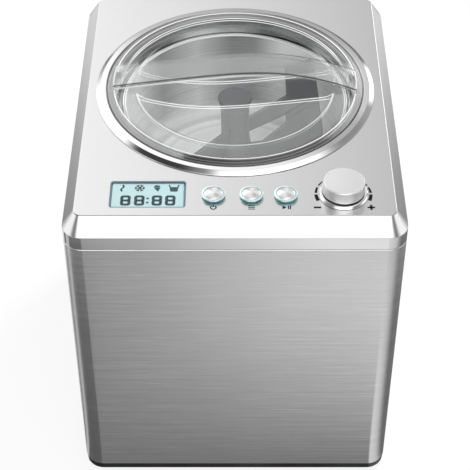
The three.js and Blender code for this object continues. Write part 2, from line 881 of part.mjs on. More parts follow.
function coolingBarrel() {
  const inner = barrelRadius;
  const outer = inner + barrelWall;
  const round = bowlFillet + bowlFloor;
  const bottomZ = barrelFloorTop + round;
  const profile = [
    [bearingRadius + fitGap, barrelUnder],
    ...arc(inner - round, bottomZ, round + barrelWall, -90, 0, 2),
    [outer, barrelTop - barrelWall],
    [barrelFlangeRadius, barrelTop - barrelWall],
    [barrelFlangeRadius, barrelTop],
    [inner, barrelTop],
    ...arc(inner - round, bottomZ, round, 0, -90, 2),
    [bearingRadius + fitGap, barrelFloorTop],
  ];
  return turned(profile, 0, axisBack, 24);
}

const coilLow = barrelUnder + 22;
const coilPitch = (jacketTop - 14 - coilLow) / coilTurns;
const coilEndAngle = 90; // both ends leave at the back

function coilPoint(turn) {
  const angle = THREE.MathUtils.degToRad(coilEndAngle) + 2 * Math.PI * turn;
  return [
    coilRadius * Math.cos(angle),
    axisBack + coilRadius * Math.sin(angle),
    coilLow + coilPitch * turn,
  ];
}

function evaporatorCoil() {
  const perTurn = 12;
  const points = Array.from({ length: perTurn * coilTurns + 1 }, (_, i) =>
    coilPoint(i / perTurn),
  );
  return pipe(points, coilTube / 2, perTurn * coilTurns);
}

function insulationJacket() {
  const profile = [
    [bearingRadius + 6, jacketUnder],
    [jacketOuter, jacketUnder],
    [jacketOuter, jacketTop],
    [jacketInner, jacketTop],
    [jacketInner, jacketFloorTop],
    [bearingRadius + 6, jacketFloorTop],
  ];
  const height = jacketTop - jacketFloorTop - 8;
  const slot = box(
    2 * coilTube + 8,
    jacketWall + 6,
    height,
    0,
    axisBack + jacketInner + jacketWall / 2,
    jacketFloorTop + 4,
  );
  return cut(turned(profile, 0, axisBack, 24), slot);
}

function shaftBearing() {
  const profile = [
    [shaftRadius + fitGap, jacketUnder + 2],
    [bearingRadius + 4, jacketUnder + 2],
    [bearingRadius + 4, barrelUnder - fitGap],
    [bearingRadius, barrelUnder - fitGap],
    [bearingRadius, barrelFloorTop],
    [shaftRadius + fitGap, barrelFloorTop],
  ];
  return turned(profile, 0, axisBack, 16);
}

add("cooling_barrel", coolingBarrel(), 0xb4b8bb, 0.4, 0.8);
add("evaporator_coil", evaporatorCoil(), 0xb0713f, 0.4, 0.9);
add("insulation_jacket", insulationJacket(), 0xe9e2c4, 0.95);
add("shaft_bearing", shaftBearing(), 0x2a2a2c, 0.6);

// ---- Geared drive -------------------------------------------------------------------------

const pressure = THREE.MathUtils.degToRad(20);
const involute = (angle) => Math.tan(angle) - angle;

// The outline of a spur gear, one tooth centred on the angle phase. A flank stands at the
// involute's half angle for each radius, and straight inwards under the base circle. With one
// flank step it is a straight line from root to tip, which lies inside the involute.
function gearOutline(teeth, phase, tip, flankSteps) {
  const pitchR = (gearModule * teeth) / 2;
  const baseR = pitchR * Math.cos(pressure);
  const rootR = pitchR - toothRoot * gearModule;
  const tipR = pitchR + tip * gearModule;
  const halfPitch = ((Math.PI * gearModule) / 2 - toothSlack) / (2 * pitchR);
  const half = (r) =>
    halfPitch + involute(pressure) - involute(Math.acos(Math.min(1, baseR / r)));
  const start = flankSteps > 1 ? Math.max(rootR, baseR) : rootR;
  const radii = Array.from(
    { length: flankSteps + 1 },
    (_, i) => start + ((tipR - start) * i) / flankSteps,
  );
  if (rootR < start) radii.unshift(rootR);
  const shape = new THREE.Shape();
  for (let tooth = 0; tooth < teeth; tooth += 1) {
    const middle = phase + (2 * Math.PI * tooth) / teeth;
    const flank = [
      ...radii.map((r) => [r, middle - half(Math.max(r, baseR))]),
      ...radii.map((r) => [r, middle + half(Math.max(r, baseR))]).reverse(),
    ];
    flank.forEach(([r, angle], i) => {
      const x = r * Math.cos(angle);
      const y = r * Math.sin(angle);
      if (tooth === 0 && i === 0) shape.moveTo(x, y);
      else shape.lineTo(x, y);
    });
  }
  return shape;
}

function gear(teeth, phase, tip, flankSteps, x, y, z, face) {
  return prism(gearOutline(teeth, phase, tip, flankSteps), z, face).translate([x, y, 0]);
}

const pinionTip = 0.9;
const towardsIdler = -Math.PI / 2;
const towardsAxis = Math.PI / 2;
const pinionGap = Math.PI / pinionTeeth;
const shaftFoot = upperWheelZ - 1.5;

function driveShaft() {
  const hexFoot = hexTop - hexLength;
  return joined(
    cylinder(shaftRadius, hexFoot - shaftFoot, 0, axisBack, shaftFoot, 16),
    cylinder(hexRadius, hexLength + 0.5, 0, axisBack, hexFoot - 0.5, 6),
  );
}

function outputGear() {
  const wheel = gear(
    wheelTeeth,
    towardsIdler,
    wheelTip,
    1,
    0,
    axisBack,
    upperWheelZ,
    wheelFace,
  );
  const hub = cylinder(shaftRadius + 6, wheelFace + 1.4, 0, axisBack, upperWheelZ, 16);
  const bore = cylinder(shaftRadius + fitGap, wheelFace + 6, 0, axisBack, upperWheelZ - 2, 16);
  return cut(wheel.add(hub), bore);
}

function idlerGear() {
  const wheel = gear(
    wheelTeeth,
    towardsAxis,
    wheelTip,
    1,
    0,
    idlerY,
    lowerWheelZ,
    wheelFace,
  );
  const pinion = gear(
    pinionTeeth,
    towardsAxis + pinionGap,
    pinionTip,
    2,
    0,
    idlerY,
    lowerWheelZ + wheelFace - 0.5,
    layerPitch + 1.5,
  );
  const bore = cylinder(
    idlerPinRadius + fitGap,
    layerPitch + wheelFace + 10,
    0,
    idlerY,
    lowerWheelZ - 2,
  );
  return cut(joined(wheel, pinion), bore);
}

function motorPinion() {
  const pinion = gear(
    pinionTeeth,
    towardsIdler + pinionGap,
    pinionTip,
    2,
    0,
    axisBack,
    lowerWheelZ - 1,
    wheelFace + 2,
  );
  const shaftLength = lowerWheelZ - motorTop + 22;
  return pinion.add(
    cylinder(motorShaftRadius, shaftLength, 0, axisBack, motorTop - 22),
  );
}

// Two round ends round the two gear axes, joined by straight sides.
function gearboxPlan(radius) {
  const shape = new THREE.Shape();
  shape.absarc(0, axisBack, radius, 0, Math.PI);
  shape.absarc(0, idlerY, radius, Math.PI, 2 * Math.PI);
  return shape;
}

const screwEars = [
  [1, axisBack - 6],
  [-1, axisBack - 6],
  [1, idlerY + 6],
  [-1, idlerY + 6],
];

function earPosts(z, height) {
  return screwEars.map(([side, y]) =>
    cylinder(5, height, side * (gearboxRadius + 1), y, z, tinySteps),
  );
}

function gearboxCase() {
  const height = caseTop - caseUnder;
  const shell = prism(gearboxPlan(gearboxRadius), caseUnder, height, 4);
  const cavity = prism(gearboxPlan(gearboxRadius - gearboxWall), caseFloorTop, height, 4);
  const boss = cylinder(8, 2, 0, idlerY, caseFloorTop - 0.5);
  const pinHole = cylinder(idlerPinRadius + 0.2, 12, 0, idlerY, caseUnder - 2);
  const shaftHole = cylinder(motorShaftRadius + 2, 12, 0, axisBack, caseUnder - 2);
  const walls = cut(joined(shell, ...earPosts(caseUnder, height)), cavity);
  return cut(joined(walls, boss), pinHole, shaftHole);
}

function gearboxCover() {
  const plate = prism(gearboxPlan(gearboxRadius), coverUnder, gearboxCoverWall, 4);
  const ears = earPosts(coverUnder, gearboxCoverWall);
  const boss = cylinder(
    shaftRadius + 5,
    gearboxCoverWall + framePlate,
    0,
    axisBack,
    coverUnder,
    16,
  );
  const shaftHole = cylinder(shaftRadius + fitGap, 20, 0, axisBack, coverUnder - 4, 16);
  const pinHole = cylinder(idlerPinRadius + 0.2, 12, 0, idlerY, coverUnder - 2);
  return cut(joined(plate, ...ears, boss), shaftHole, pinHole);
}

function driveMotor() {
  const low = motorTop - motorHeight;
  const bore = motorShaftRadius + fitGap;
  const profile = [
    [0, low],
    [12, low],
    [14, low + 4],
    [motorRadius - 5, low + 5],
    [motorRadius - 2, low + 8],
    [motorRadius - 2, low + 16],
    [motorRadius, low + 16],
    [motorRadius, motorTop - 12],
    [motorRadius - 2, motorTop - 12],
    [motorRadius - 3, motorTop],
    [bore, motorTop],
    [bore, motorTop - 24],
    [0, motorTop - 24],
  ];
  return turned(profile, 0, axisBack, machineSteps);
}

// A plate on four angle legs that carries the insulated barrel, with the gearbox under it.
function supportFrame() {
  const plate = box(frameWidth, frameDepth, framePlate, 0, axisBack, frameUnder);
  const legs = cornerSigns.map(([, sx, sy]) => {
    const x = sx * (frameWidth / 2 - frameLeg / 2);
    const y = axisBack + sy * (frameDepth / 2 - frameLeg / 2);
    const height = frameUnder - machineFloor + 0.5;
    const hollowX = x - sx * framePlate;
    const hollowY = y - sy * framePlate;
    return cut(
      box(frameLeg, frameLeg, height, x, y, machineFloor),
      box(frameLeg, frameLeg, height + 2, hollowX, hollowY, machineFloor + framePlate),
    );
  });
  const hole = cylinder(bearingRadius + 8, 10, 0, axisBack, frameUnder - 4, 16);
  return cut(joined(plate, ...legs), hole);
}

add("drive_shaft", driveShaft(), 0xa9adb1, 0.3, 1);
add("output_gear", outputGear(), 0xd9d4c4, 0.5);
add("idler_gear", idlerGear(), 0xd9d4c4, 0.5);
add(
  "idler_pin",
  cylinder(idlerPinRadius, coverTop - caseUnder, 0, idlerY, caseUnder),
  0xa9adb1,
  0.3,
  1,
);
add("motor_pinion", motorPinion(), 0xa9adb1, 0.3, 1);
add("gearbox_case", gearboxCase(), 0x9a9da0, 0.5, 0.6);
add("gearbox_cover", gearboxCover(), 0x9a9da0, 0.5, 0.6);
add("drive_motor", driveMotor(), 0x6d7073, 0.45, 0.7);
add("support_frame", supportFrame(), 0xa4a7aa, 0.5, 0.8);

// ---- Compressor, condenser, fan and pipes -------------------------------------------------

const mountUnder = panFloorTop + grommetHeight;
const mountWall = 2.5;
const canFoot = mountUnder + mountWall;

function compressor() {
  const r = compressorRadius;
  const top = canFoot + compressorHeight;
  const can = turned(
    [
      [0, canFoot - 1],
      [r - 14, canFoot - 1],
      ...arc(r - 14, canFoot + 13, 14, -90, 0, 2),
      [r, canFoot + 60],
      [r + 1.5, canFoot + 63],
      [r, canFoot + 66],
      ...arc(r - 26, top - 26, 26, 0, 90, 3),
      [0, top],
    ],
    compressorX,
    compressorY,
    machineSteps,
  );
  const plate = prism(
    roundedRect(mountWidth, mountDepth, 8, compressorX, compressorY),
    mountUnder,
    mountWall,
  );
  const holes = grommetPlaces.map(([, x, y]) => cylinder(5.3, 10, x, y, mountUnder - 3, tinySteps));
  return can.add(cut(plate, ...holes));
}

// A rubber grommet: wide under and over the plate, narrow where it passes through it.
function grommet(x, y) {
  const bore = grommetPin + fitGap;
  const under = mountUnder - fitGap;
  const over = mountUnder + mountWall + fitGap;
  const profile = [
    [bore, machineFloor],
    [8, machineFloor],
    [7.5, under],
    [5, under],
    [5, over],
    [7, over],
    [6.4, over + 3],
    [bore, over + 3],
  ];
  return turned(profile, x, y, tinySteps);
}

add("compressor", compressor(), 0x17181a, 0.35, 0.3);
for (const [name, x, y] of grommetPlaces) {
  add(`compressor_grommet_${name}`, grommet(x, y), 0x2a2a2b, 0.9);
}

// The relay box clipped on the front of the compressor's lower half.
function compressorRelay() {
  const y = compressorY - compressorRadius - relayDepth / 2 + 2;
  const block = box(relayWidth, relayDepth, relayHeight, compressorX, y, canFoot + 18);
  const can = cylinder(
    compressorRadius + fitGap,
    60,
    compressorX,
    compressorY,
    canFoot + 5,
    machineSteps,
  );
  return cut(block, can);
}

add("compressor_relay", compressorRelay(), 0xd8d8d4, 0.6);

function condenser() {
  const core = box(
    condenserThickness,
    fanSize,
    fanSize,
    condenserX,
    condenserY,
    machineFloor,
  );
  const grooves = [];
  const count = Math.floor((fanSize - finPitch) / finPitch);
  for (let i = 0; i < count; i += 1) {
    const y = condenserY + (i - (count - 1) / 2) * finPitch;
    for (const side of [-1, 1]) {
      const x = condenserX + side * (condenserThickness / 2 - 4);
      grooves.push(box(10, finPitch - finWall, fanSize - 16, x, y, machineFloor + 8));
    }
  }
  return cut(core, ...grooves);
}

function fanFrame() {
  const body = solid(
    new THREE.BoxGeometry(fanThickness, fanSize, fanSize).translate(fanX, condenserY, airZ),
  );
  const duct = lyingCylinder("x", fanDuct, fanThickness + 4, fanX, condenserY, airZ, 24);
  const plateX = fanX - fanThickness / 2 + 1.5;
  const hub = lyingCylinder("x", fanHub, 3, plateX, condenserY, airZ, 16);
  const pin = lyingCylinder("x", 2.5, 14, plateX + 7, condenserY, airZ);
  const struts = [0, 120, 240].map((degrees) => {
    const made = new THREE.BoxGeometry(3, 4, fanDuct - fanHub + 8);
    made.translate(0, 0, (fanDuct + fanHub) / 2);
    made.rotateX(THREE.MathUtils.degToRad(degrees));
    return solid(made.translate(plateX, condenserY, airZ));
  });
  return joined(cut(body, duct), hub, pin, ...struts);
}

function fanRotor() {
  const length = fanThickness - 9;
  const x = fanX + 1.5;
  const hub = lyingCylinder("x", fanHub, length, x, condenserY, airZ, 16);
  const blades = Array.from({ length: fanBlades }, (_, i) => {
    const made = new THREE.BoxGeometry(fanBladeWall, fanChord, fanDuct - fanHub - 1);
    made.rotateZ(THREE.MathUtils.degToRad(fanPitch));
    made.translate(0, 0, (fanDuct + fanHub) / 2 - 2.5);
    made.rotateX((2 * Math.PI * i) / fanBlades);
    return solid(made.translate(x, condenserY, airZ));
  });
  const bore = lyingCylinder("x", 2.5 + fitGap, length + 4, x, condenserY, airZ);
  const span = lyingCylinder("x", fanDuct - 2, length, x, condenserY, airZ, 24);
  return cut(joined(hub, ...blades).intersect(span), bore);
}

add("condenser", condenser(), 0x9fa3a6, 0.5, 0.8);
add("fan_frame", fanFrame(), 0x1d1d1f, 0.6);
add("fan_rotor", fanRotor(), 0x26272a, 0.55);

const drierX = condenserX;
const drierY = condenserY - fanSize / 2 - 14;
const drierZ = machineFloor + 20;

function filterDrier() {
  const profile = [
    [0, drierZ],
    [3, drierZ],
    [3, drierZ + 5],
    [drierRadius, drierZ + 12],
    [drierRadius, drierZ + drierLength - 12],
    [3, drierZ + drierLength - 5],
    [3, drierZ + drierLength],
    [0, drierZ + drierLength],
  ];
  return turned(profile, drierX, drierY, smallSteps);
}

const condenserBack = condenserY + fanSize / 2;
const condenserFront = condenserY - fanSize / 2;
const pipeSide = compressorX + compressorRadius + fitGap + 0.4;

function dischargePipe() {
  const high = machineFloor + fanSize - 12;
  const points = [
    [pipeSide, compressorY, canFoot + 84],
    [pipeSide + 25, compressorY + 2, canFoot + 86],
    [pipeSide + 70, compressorY + 14, high + 4],
    [condenserX - 12, condenserBack + 24, high],
    [condenserX, condenserBack + 14, high],
    [condenserX, condenserBack + fitGap, high],
  ];
  return pipe(points, pipeRadius, 16);
}

// From the foot of the condenser to the foot of the filter drier.
function liquidPipe() {
  const low = machineFloor + 8;
  const points = [
    [condenserX, condenserFront - fitGap, low],
    [condenserX, condenserFront - 7, low - 0.5],
    [drierX, drierY, low + 3],
    [drierX, drierY, drierZ - fitGap],
  ];
  return pipe(points, pipeRadius, 10);
}

// The thin tube from the drier up outside the frame, round the jacket to the coil's lower end.
function capillaryTube() {
  const outside = frameWidth / 2 + 8;
  const round = [0, 20, 40, 60, 76].map((degrees, i) => {
    const angle = THREE.MathUtils.degToRad(degrees);
    const r = jacketOuter + 5;
    return [r * Math.cos(angle), axisBack + r * Math.sin(angle), frameTop + 16 + i * 2];
  });
  const [, coilY, coilZ] = coilPoint(0);
  const points = [
    [drierX, drierY, drierZ + drierLength + fitGap],
    [drierX, drierY, drierZ + drierLength + 12],
    [outside, drierY + 4, drierZ + drierLength + 40],
    [outside, drierY + 22, frameTop],
    ...round,
    [8, jacketOuter + axisBack + 2, coilZ - 1],
    [1, jacketOuter + axisBack - 4, coilZ - 0.5],
    [0, coilY + coilTube / 2 + fitGap, coilZ],
  ];
  return pipe(points, capillaryRadius, 30);
}

// From the coil's upper end down behind the jacket to the top of the compressor.
function suctionPipe() {
  const [, coilY, coilZ] = coilPoint(coilTurns);
  const back = axisBack + jacketOuter + 9;
  const top = canFoot + compressorHeight;
  const points = [
    [0, coilY + coilTube / 2 + fitGap, coilZ],
    [-2, back - 6, coilZ - 1],
    [-5, back, coilZ - 14],
    [-12, back, frameTop + 20],
    [-22, back, frameUnder - 14],
    [compressorX + 8, compressorY + 16, top + 24],
    [compressorX, compressorY, top + 14],
    [compressorX, compressorY, top + fitGap],
  ];
  return pipe(points, pipeRadius, 22);
}

add("filter_drier", filterDrier(), 0xb0713f, 0.4, 0.9);
add("discharge_pipe", dischargePipe(), 0xb0713f, 0.4, 0.9);
add("liquid_pipe", liquidPipe(), 0xb0713f, 0.4, 0.9);
add("capillary_tube", capillaryTube(), 0xb0713f, 0.4, 0.9);
add("suction_pipe", suctionPipe(), 0xb0713f, 0.4, 0.9);

// ---- Power board --------------------------------------------------------------------------

// The board on its stand-offs, with its transformer, its relay and its smoothing capacitor.
function powerBoard() {
  const x = powerBoardSide - bodyWidth / 2;
  const y = bodyFront + powerBoardInset;
  const width = powerBoardWidth;
  const depth = powerBoardDepth;
  const posts = cornerSigns.map(([, sx, sy]) => {
    const postX = x + sx * (width / 2 - 6);
    const postY = y + sy * (depth / 2 - 6);
    return cylinder(3, standOff + 1, postX, postY, machineFloor, tinySteps);
  });
  const board = box(width, depth, boardWall, x, y, machineFloor + standOff);
  const top = machineFloor + standOff + boardWall - 0.5;
  const transformer = box(
    transformerWidth,
    transformerWidth - 4,
    transformerHeight,
    x - width / 4,
    y + depth / 8,
    top,
  );
  const relay = box(18, transformerHeight, 20, x + width / 4, y - depth / 5, top);
  const capacitor = cylinder(7, capacitorHeight, x + width / 4, y + depth / 4, top);
  return joined(...posts, board, transformer, relay, capacitor);
}

add("power_board", powerBoard(), 0x2f6b45, 0.6);

// ---- Controls -----------------------------------------------------------------------------

function controlBoard() {
  const board = box(boardWidth, boardDepth, boardWall, 0, boardY, boardTop - boardWall);
  const holes = boardBosses.map(([x, y]) => cylinder(1.6, 8, x, y, boardTop - 5, tinySteps));
  return cut(board, ...holes);
}

const windowUnder = deckHeight - windowWall;
const windowFlange = 2.4;
const windowRim = 1.2; // the window's wall round the display's glass
const lensWall = 1; // the window's pane over it

function displayWindow() {
  const pane = prism(
    roundedRect(displayWidth, displayDepth, displayCorner, displayX, displayRow),
    windowUnder - 1,
    windowWall + 1,
  );
  const flange = prism(
    roundedRect(
      displayWidth + 2 * windowFlange,
      displayDepth + 2 * windowFlange,
      displayCorner,
      displayX,
      displayRow,
    ),
    windowUnder - 1,
    deckUnder - fitGap - windowUnder + 1,
  );
  const pocket = prism(
    roundedRect(
      displayWidth - 2 * windowRim,
      displayDepth - 2 * windowRim,
      displayCorner - windowRim,
      displayX,
      displayRow,
    ),
    windowUnder - 2,
    windowWall + 2 - lensWall,
  );
  return cut(pane.add(flange), pocket);
}

function lcdModule() {
  const foot = boardTop + fitGap;
  const top = windowUnder - 1 - fitGap;
  const frame = prism(
    roundedRect(displayWidth + 3, displayDepth + 3, 2, displayX, displayRow),
    foot,
    top - foot,
  );
  const glassInset = windowRim + fitGap;
  const glassTop = deckHeight - lensWall - fitGap;
  const glass = prism(
    roundedRect(
      displayWidth - 2 * glassInset,
      displayDepth - 2 * glassInset,
      displayCorner - glassInset,
      displayX,
      displayRow,
    ),
    top - 1,
    glassTop - top + 1,
  );
  return joined(frame, glass);
}

add("control_board", controlBoard(), 0x2f6b45, 0.6);
add("display_window", displayWindow(), 0xbfe6ea, 0.1);
add("lcd_module", lcdModule(), 0xe8f4f4, 0.5);

const switchRadius = 2.4;
const stemRadius = switchRadius - fitGap - 0.1;
const capFoot = deckUnder - 3.5;
const switchTop = boardTop + 6;

function buttonCap(x) {
  const top = deckHeight + buttonRise;
  const stemFoot = switchTop - 1;
  const profile = [
    [0, stemFoot],
    [stemRadius, stemFoot],
    [stemRadius, capFoot],
    [buttonRadius, capFoot],
    [buttonRadius, top - 0.6],
    [buttonRadius - 0.6, top],
    [0, top],
  ];
  return turned(profile, x, buttonRow, smallSteps);
}

// The bright ring round a cap: a flange on the deck over a guide sleeve through it.
function buttonRing(x) {
  const inner = buttonRadius + fitGap;
  const sleeve = inner + ringWall;
  const seat = deckHeight + fitGap;
  const profile = [
    [inner, deckUnder - 3],
    [sleeve, deckUnder - 3],
    [sleeve, seat],
    [ringRadius, seat],
    [ringRadius - 0.4, deckHeight + ringRise],
    [inner, deckHeight + ringRise],
  ];
  return turned(profile, x, buttonRow, smallSteps);
}

function tactSwitch(x) {
  const foot = boardTop + fitGap;
  const body = box(8, 8, switchTop - foot, x, buttonRow, foot);
  const wellFoot = switchTop - 1 - buttonTravel - 0.6;
  return cut(body, cylinder(switchRadius, 10, x, buttonRow, wellFoot));
}

for (const [name, x] of [
  ["power", powerX],
  ["menu", menuX],
  ["start", startX],
]) {
  add(`${name}_button`, buttonCap(x), 0xd5d7d9, 0.25, 0.9);
  add(`${name}_ring`, buttonRing(x), 0x9fd8dc, 0.2, 0.5);
  add(`${name}_switch`, tactSwitch(x), 0x2a2b2d, 0.6);
}

const knobFoot = deckHeight + fitGap + knobCollarRise + fitGap;
const knobTop = knobFoot + knobHeight;
const shaftTop = knobTop - 4;

function knob() {
  const r = knobRadius;
  const profile = [
    [0, knobFoot],
    [r - 1.2, knobFoot],
    [r - 1.2, knobFoot + 0.8],
    [r + 0.2, knobFoot + 0.8],
    [r, knobTop - 1.4],
    [r - 1.2, knobTop - 0.2],
    [0, knobTop + 0.3],
  ];
  const socketHeight = shaftTop + fitGap - knobFoot + 1;
  const socket = cylinder(
    encoderShaftRadius + fitGap,
    socketHeight,
    knobX,
    knobRow,
    knobFoot - 1,
  );
  return cut(turned(profile, knobX, knobRow, 20), socket);
}

function knobCollar() {
  const foot = deckHeight + fitGap;
  const r = knobCollarRadius;
  const profile = [
    [encoderShaftRadius + 2.5, foot],
    [r, foot],
    [r, foot + 0.5],
    [r - 1.2, foot + knobCollarRise],
    [encoderShaftRadius + 2.5, foot + knobCollarRise],
  ];
  return turned(profile, knobX, knobRow, 20);
}

const encoderTop = boardTop + 7;

// The encoder's body with the round seat that its shaft turns in.
function encoder() {
  const foot = boardTop + fitGap;
  const body = box(13, 13, encoderTop - foot, knobX, knobRow, foot);
  const sleeve = cylinder(
    encoderShaftRadius + 1.8,
    deckHeight - encoderTop,
    knobX,
    knobRow,
    encoderTop - 0.5,
  );
  const bore = cylinder(
    encoderShaftRadius + fitGap,
    deckHeight,
    knobX,
    knobRow,
    foot + 1.5,
  );
  return cut(joined(body, sleeve), bore);
}

const encoderShaft = cylinder(
  encoderShaftRadius,
  shaftTop - boardTop - 3,
  knobX,
  knobRow,
  boardTop + 3,
);

add("knob", knob(), 0xd9dbdd, 0.3, 0.7);
add("knob_collar", knobCollar(), 0xe4e6e8, 0.15, 1);
add("encoder", encoder(), 0x3a3b3d, 0.5);
add("encoder_shaft", encoderShaft, 0xb8babc, 0.4, 0.8);

export default model;
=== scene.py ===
import math

import bmesh
import bpy
import numpy as np
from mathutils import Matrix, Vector


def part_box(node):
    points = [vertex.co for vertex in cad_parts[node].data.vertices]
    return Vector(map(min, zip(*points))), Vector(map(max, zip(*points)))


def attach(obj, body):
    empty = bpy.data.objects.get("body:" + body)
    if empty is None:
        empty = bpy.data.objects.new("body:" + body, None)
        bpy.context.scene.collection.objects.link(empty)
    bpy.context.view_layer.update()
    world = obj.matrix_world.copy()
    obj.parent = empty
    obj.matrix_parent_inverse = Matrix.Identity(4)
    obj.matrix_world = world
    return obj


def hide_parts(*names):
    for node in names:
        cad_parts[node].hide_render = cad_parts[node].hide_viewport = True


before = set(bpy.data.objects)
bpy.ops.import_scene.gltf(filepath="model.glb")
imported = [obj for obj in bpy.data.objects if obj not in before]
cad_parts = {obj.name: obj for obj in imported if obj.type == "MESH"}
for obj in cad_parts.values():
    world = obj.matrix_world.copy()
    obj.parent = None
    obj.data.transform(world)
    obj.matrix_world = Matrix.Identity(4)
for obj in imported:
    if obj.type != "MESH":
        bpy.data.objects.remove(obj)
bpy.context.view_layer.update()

mm = 0.001
tau = 2 * math.pi


# Small shape tools: everything is worked out in millimetres

# Lowest and highest corner of a CAD node.
def boxOf(node):
    low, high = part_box(node)
    return np.array(low) / mm, np.array(high) / mm


def middleOf(node):
    low, high = boxOf(node)
    return (low + high) / 2


# A closed outline through corners (x, y, radius). Each corner gives way to an arc that
# touches both of its sides: its middle lies on the line that halves the corner.
def softLoop(corners, steps=6):
    corners = np.array(corners, float)
    point, radius = corners[:, :2], np.maximum(corners[:, 2:3], 1e-4)
    before, after = np.roll(point, 1, 0) - point, np.roll(point, -1, 0) - point
    before /= np.linalg.norm(before, axis=1, keepdims=True)
    after /= np.linalg.norm(after, axis=1, keepdims=True)
    half = np.arccos(np.clip((before * after).sum(1, keepdims=True), -1, 1)) / 2
    reach = radius / np.tan(half)
    bisector = before + after
    bisector /= np.maximum(np.linalg.norm(bisector, axis=1, keepdims=True), 1e-9)
    middle = point + bisector * radius / np.sin(half)
    start, end = (point + side * reach - middle for side in (before, after))
    sweep = np.maximum(math.pi - 2 * half, 1e-4)[:, None]
    u = np.linspace(0, 1, steps + 1)[None, :, None]
    turned = (start[:, None] * np.sin((1 - u) * sweep) + end[:, None] * np.sin(u * sweep)) / np.sin(sweep)
    return (middle[:, None] + turned).reshape(-1, 2)


# The same for an open line, which keeps its two end points.
def softLine(corners, steps=6):
    arcs = softLoop(corners, steps)[steps + 1:-(steps + 1)]
    return np.vstack([corners[0][:2], arcs, corners[-1][:2]])


# One closed skin over a grid of points, rows by columns. Columns close round. Rows close
# round too, or end in flat caps, or run into poles. It is turned so that it faces out.
def skin(grid, closeRows=False, capped=True):
    rows, columns = grid.shape[:2]
    i, j = np.meshgrid(np.arange(rows if closeRows else rows - 1), np.arange(columns), indexing="ij")
    below, beside = (i + 1) % rows, (j + 1) % columns
    quads = np.stack([i * columns + j, i * columns + beside, below * columns + beside, below * columns + j], -1)
    quads = quads.reshape(-1, 4)
    points = grid.reshape(-1, 3)
    centred = points - points.mean(0)
    a, b, c, d = (centred[quads[:, k]] for k in range(4))
    volume = (np.cross(a, b) * c).sum() + (np.cross(a, c) * d).sum()
    caps = []
    if not closeRows:
        first, last = centred[:columns], centred[-columns:]
        volume -= (np.cross(first, np.roll(first, -1, 0)) @ first.mean(0)).sum()
        volume += (np.cross(last, np.roll(last, -1, 0)) @ last.mean(0)).sum()
    if capped and not closeRows:
        caps = [np.arange(columns)[::-1], np.arange((rows - 1) * columns, rows * columns)]
    if volume < 0:
        quads, caps = quads[:, ::-1], [cap[::-1] for cap in caps]
    return points, quads, caps


def shownObject(name, data):
    made = bpy.data.objects.new(name, data)
    bpy.context.scene.collection.objects.link(made)
    return made


# A mesh object from one or more skins.
def makePiece(name, *skins):
    points, faces, start = [], [], 0
    for corners, quads, caps in skins:
        points.append(corners)
        faces += (quads + start).tolist() + [(cap + start).tolist() for cap in caps]
        start += len(corners)
    mesh = bpy.data.meshes.new(name)
    mesh.from_pydata((np.concatenate(points) * mm).tolist(), [], faces)
    shape = bmesh.new()
    shape.from_mesh(mesh)
    bmesh.ops.remove_doubles(shape, verts=shape.verts, dist=1e-7)
    bmesh.ops.dissolve_degenerate(shape, edges=shape.edges, dist=1e-8)
    shape.to_mesh(mesh)
    shape.free()
    return shownObject(name, mesh)


# A profile of (radius, height) turned about the upright line through x and y.
def turn(profile, x, y, steps=160, closed=False):
    angle = np.arange(steps) * tau / steps
    radius, height = np.array(profile, float).T
    grid = np.empty((len(radius), steps, 3))
    grid[..., 0] = x + radius[:, None] * np.cos(angle)
    grid[..., 1] = y + radius[:, None] * np.sin(angle)
    grid[..., 2] = height[:, None]
    return skin(grid, closed, capped=False)


# A ring: a closed outline of (radius, height, rounding) turned about an upright line.
def hoop(name, corners, x, y, steps, soft=6):
    return makePiece(name, turn(softLoop(corners, soft), x, y, steps, True))


# The profile of a plain drum, for the tools that cut.
def drum(radius, low, high):
    return [(0, low), (radius, low), (radius, high), (0, high)]


# The four corners of an upright band. Each has its own rounding, or all have the same.
def band(near, far, low, high, soft):
    corners = [(near, low), (far, low), (far, high), (near, high)]
    return [(*at, radius) for at, radius in zip(corners, np.broadcast_to(soft, 4))]


# A profile of (inset, height) carried round a rectangle with round corners. Each point of
# the plan is its corner's middle plus a direction times the corner radius less the inset.
def carry(profile, halfX, halfY, corner, x=0.0, y=0.0, steps=10, closed=False, flip=None):
    angle = (np.arange(4)[:, None] * math.pi / 2 + np.linspace(0, math.pi / 2, steps + 1)).ravel()
    signs = np.repeat(np.array([(1, 1), (-1, 1), (-1, -1), (1, -1)]), steps + 1, 0)
    middle = signs * (halfX - corner, halfY - corner) + (x, y)
    inset, height = np.array(profile, float).T
    reach = (corner - inset)[:, None]
    grid = np.empty((len(inset), len(angle), 3))
    grid[..., 0] = middle[:, 0] + reach * np.cos(angle)
    grid[..., 1] = middle[:, 1] + reach * np.sin(angle)
    grid[..., 2] = height[:, None]
    return skin(grid if flip is None else grid[..., flip], closed)


# A slot with round ends, cut through between two depths.
def roundSlot(long, high, start, end, x, y, flip=None):
    return carry([(0, start), (0, end)], long / 2, high / 2, high / 2 - 0.01, x, y, steps=6, flip=flip)


# A flat outline drawn up between two heights.
def slab(loop, low, high):
    grid = np.empty((2, len(loop), 3))
    grid[..., :2] = loop
    grid[..., 2] = np.array([low, high])[:, None]
    return skin(grid)


# A stroke of a drawn sign: a line of points with a width across it, between two heights.
def stroke(line, width, low, high):
    line = np.array(line, float)
    along = np.gradient(line, axis=0)
    along /= np.linalg.norm(along, axis=1, keepdims=True)
    side = np.stack([-along[:, 1], along[:, 0]], 1) * np.reshape(width, (-1, 1)) / 2
    grid = np.empty((len(line), 4, 3))
    grid[:, 0, :2], grid[:, 1, :2] = line - side, line + side
    grid[:, 2, :2], grid[:, 3, :2] = line + side, line - side
    grid[:, :2, 2], grid[:, 2:, 2] = low, high
    return skin(grid)


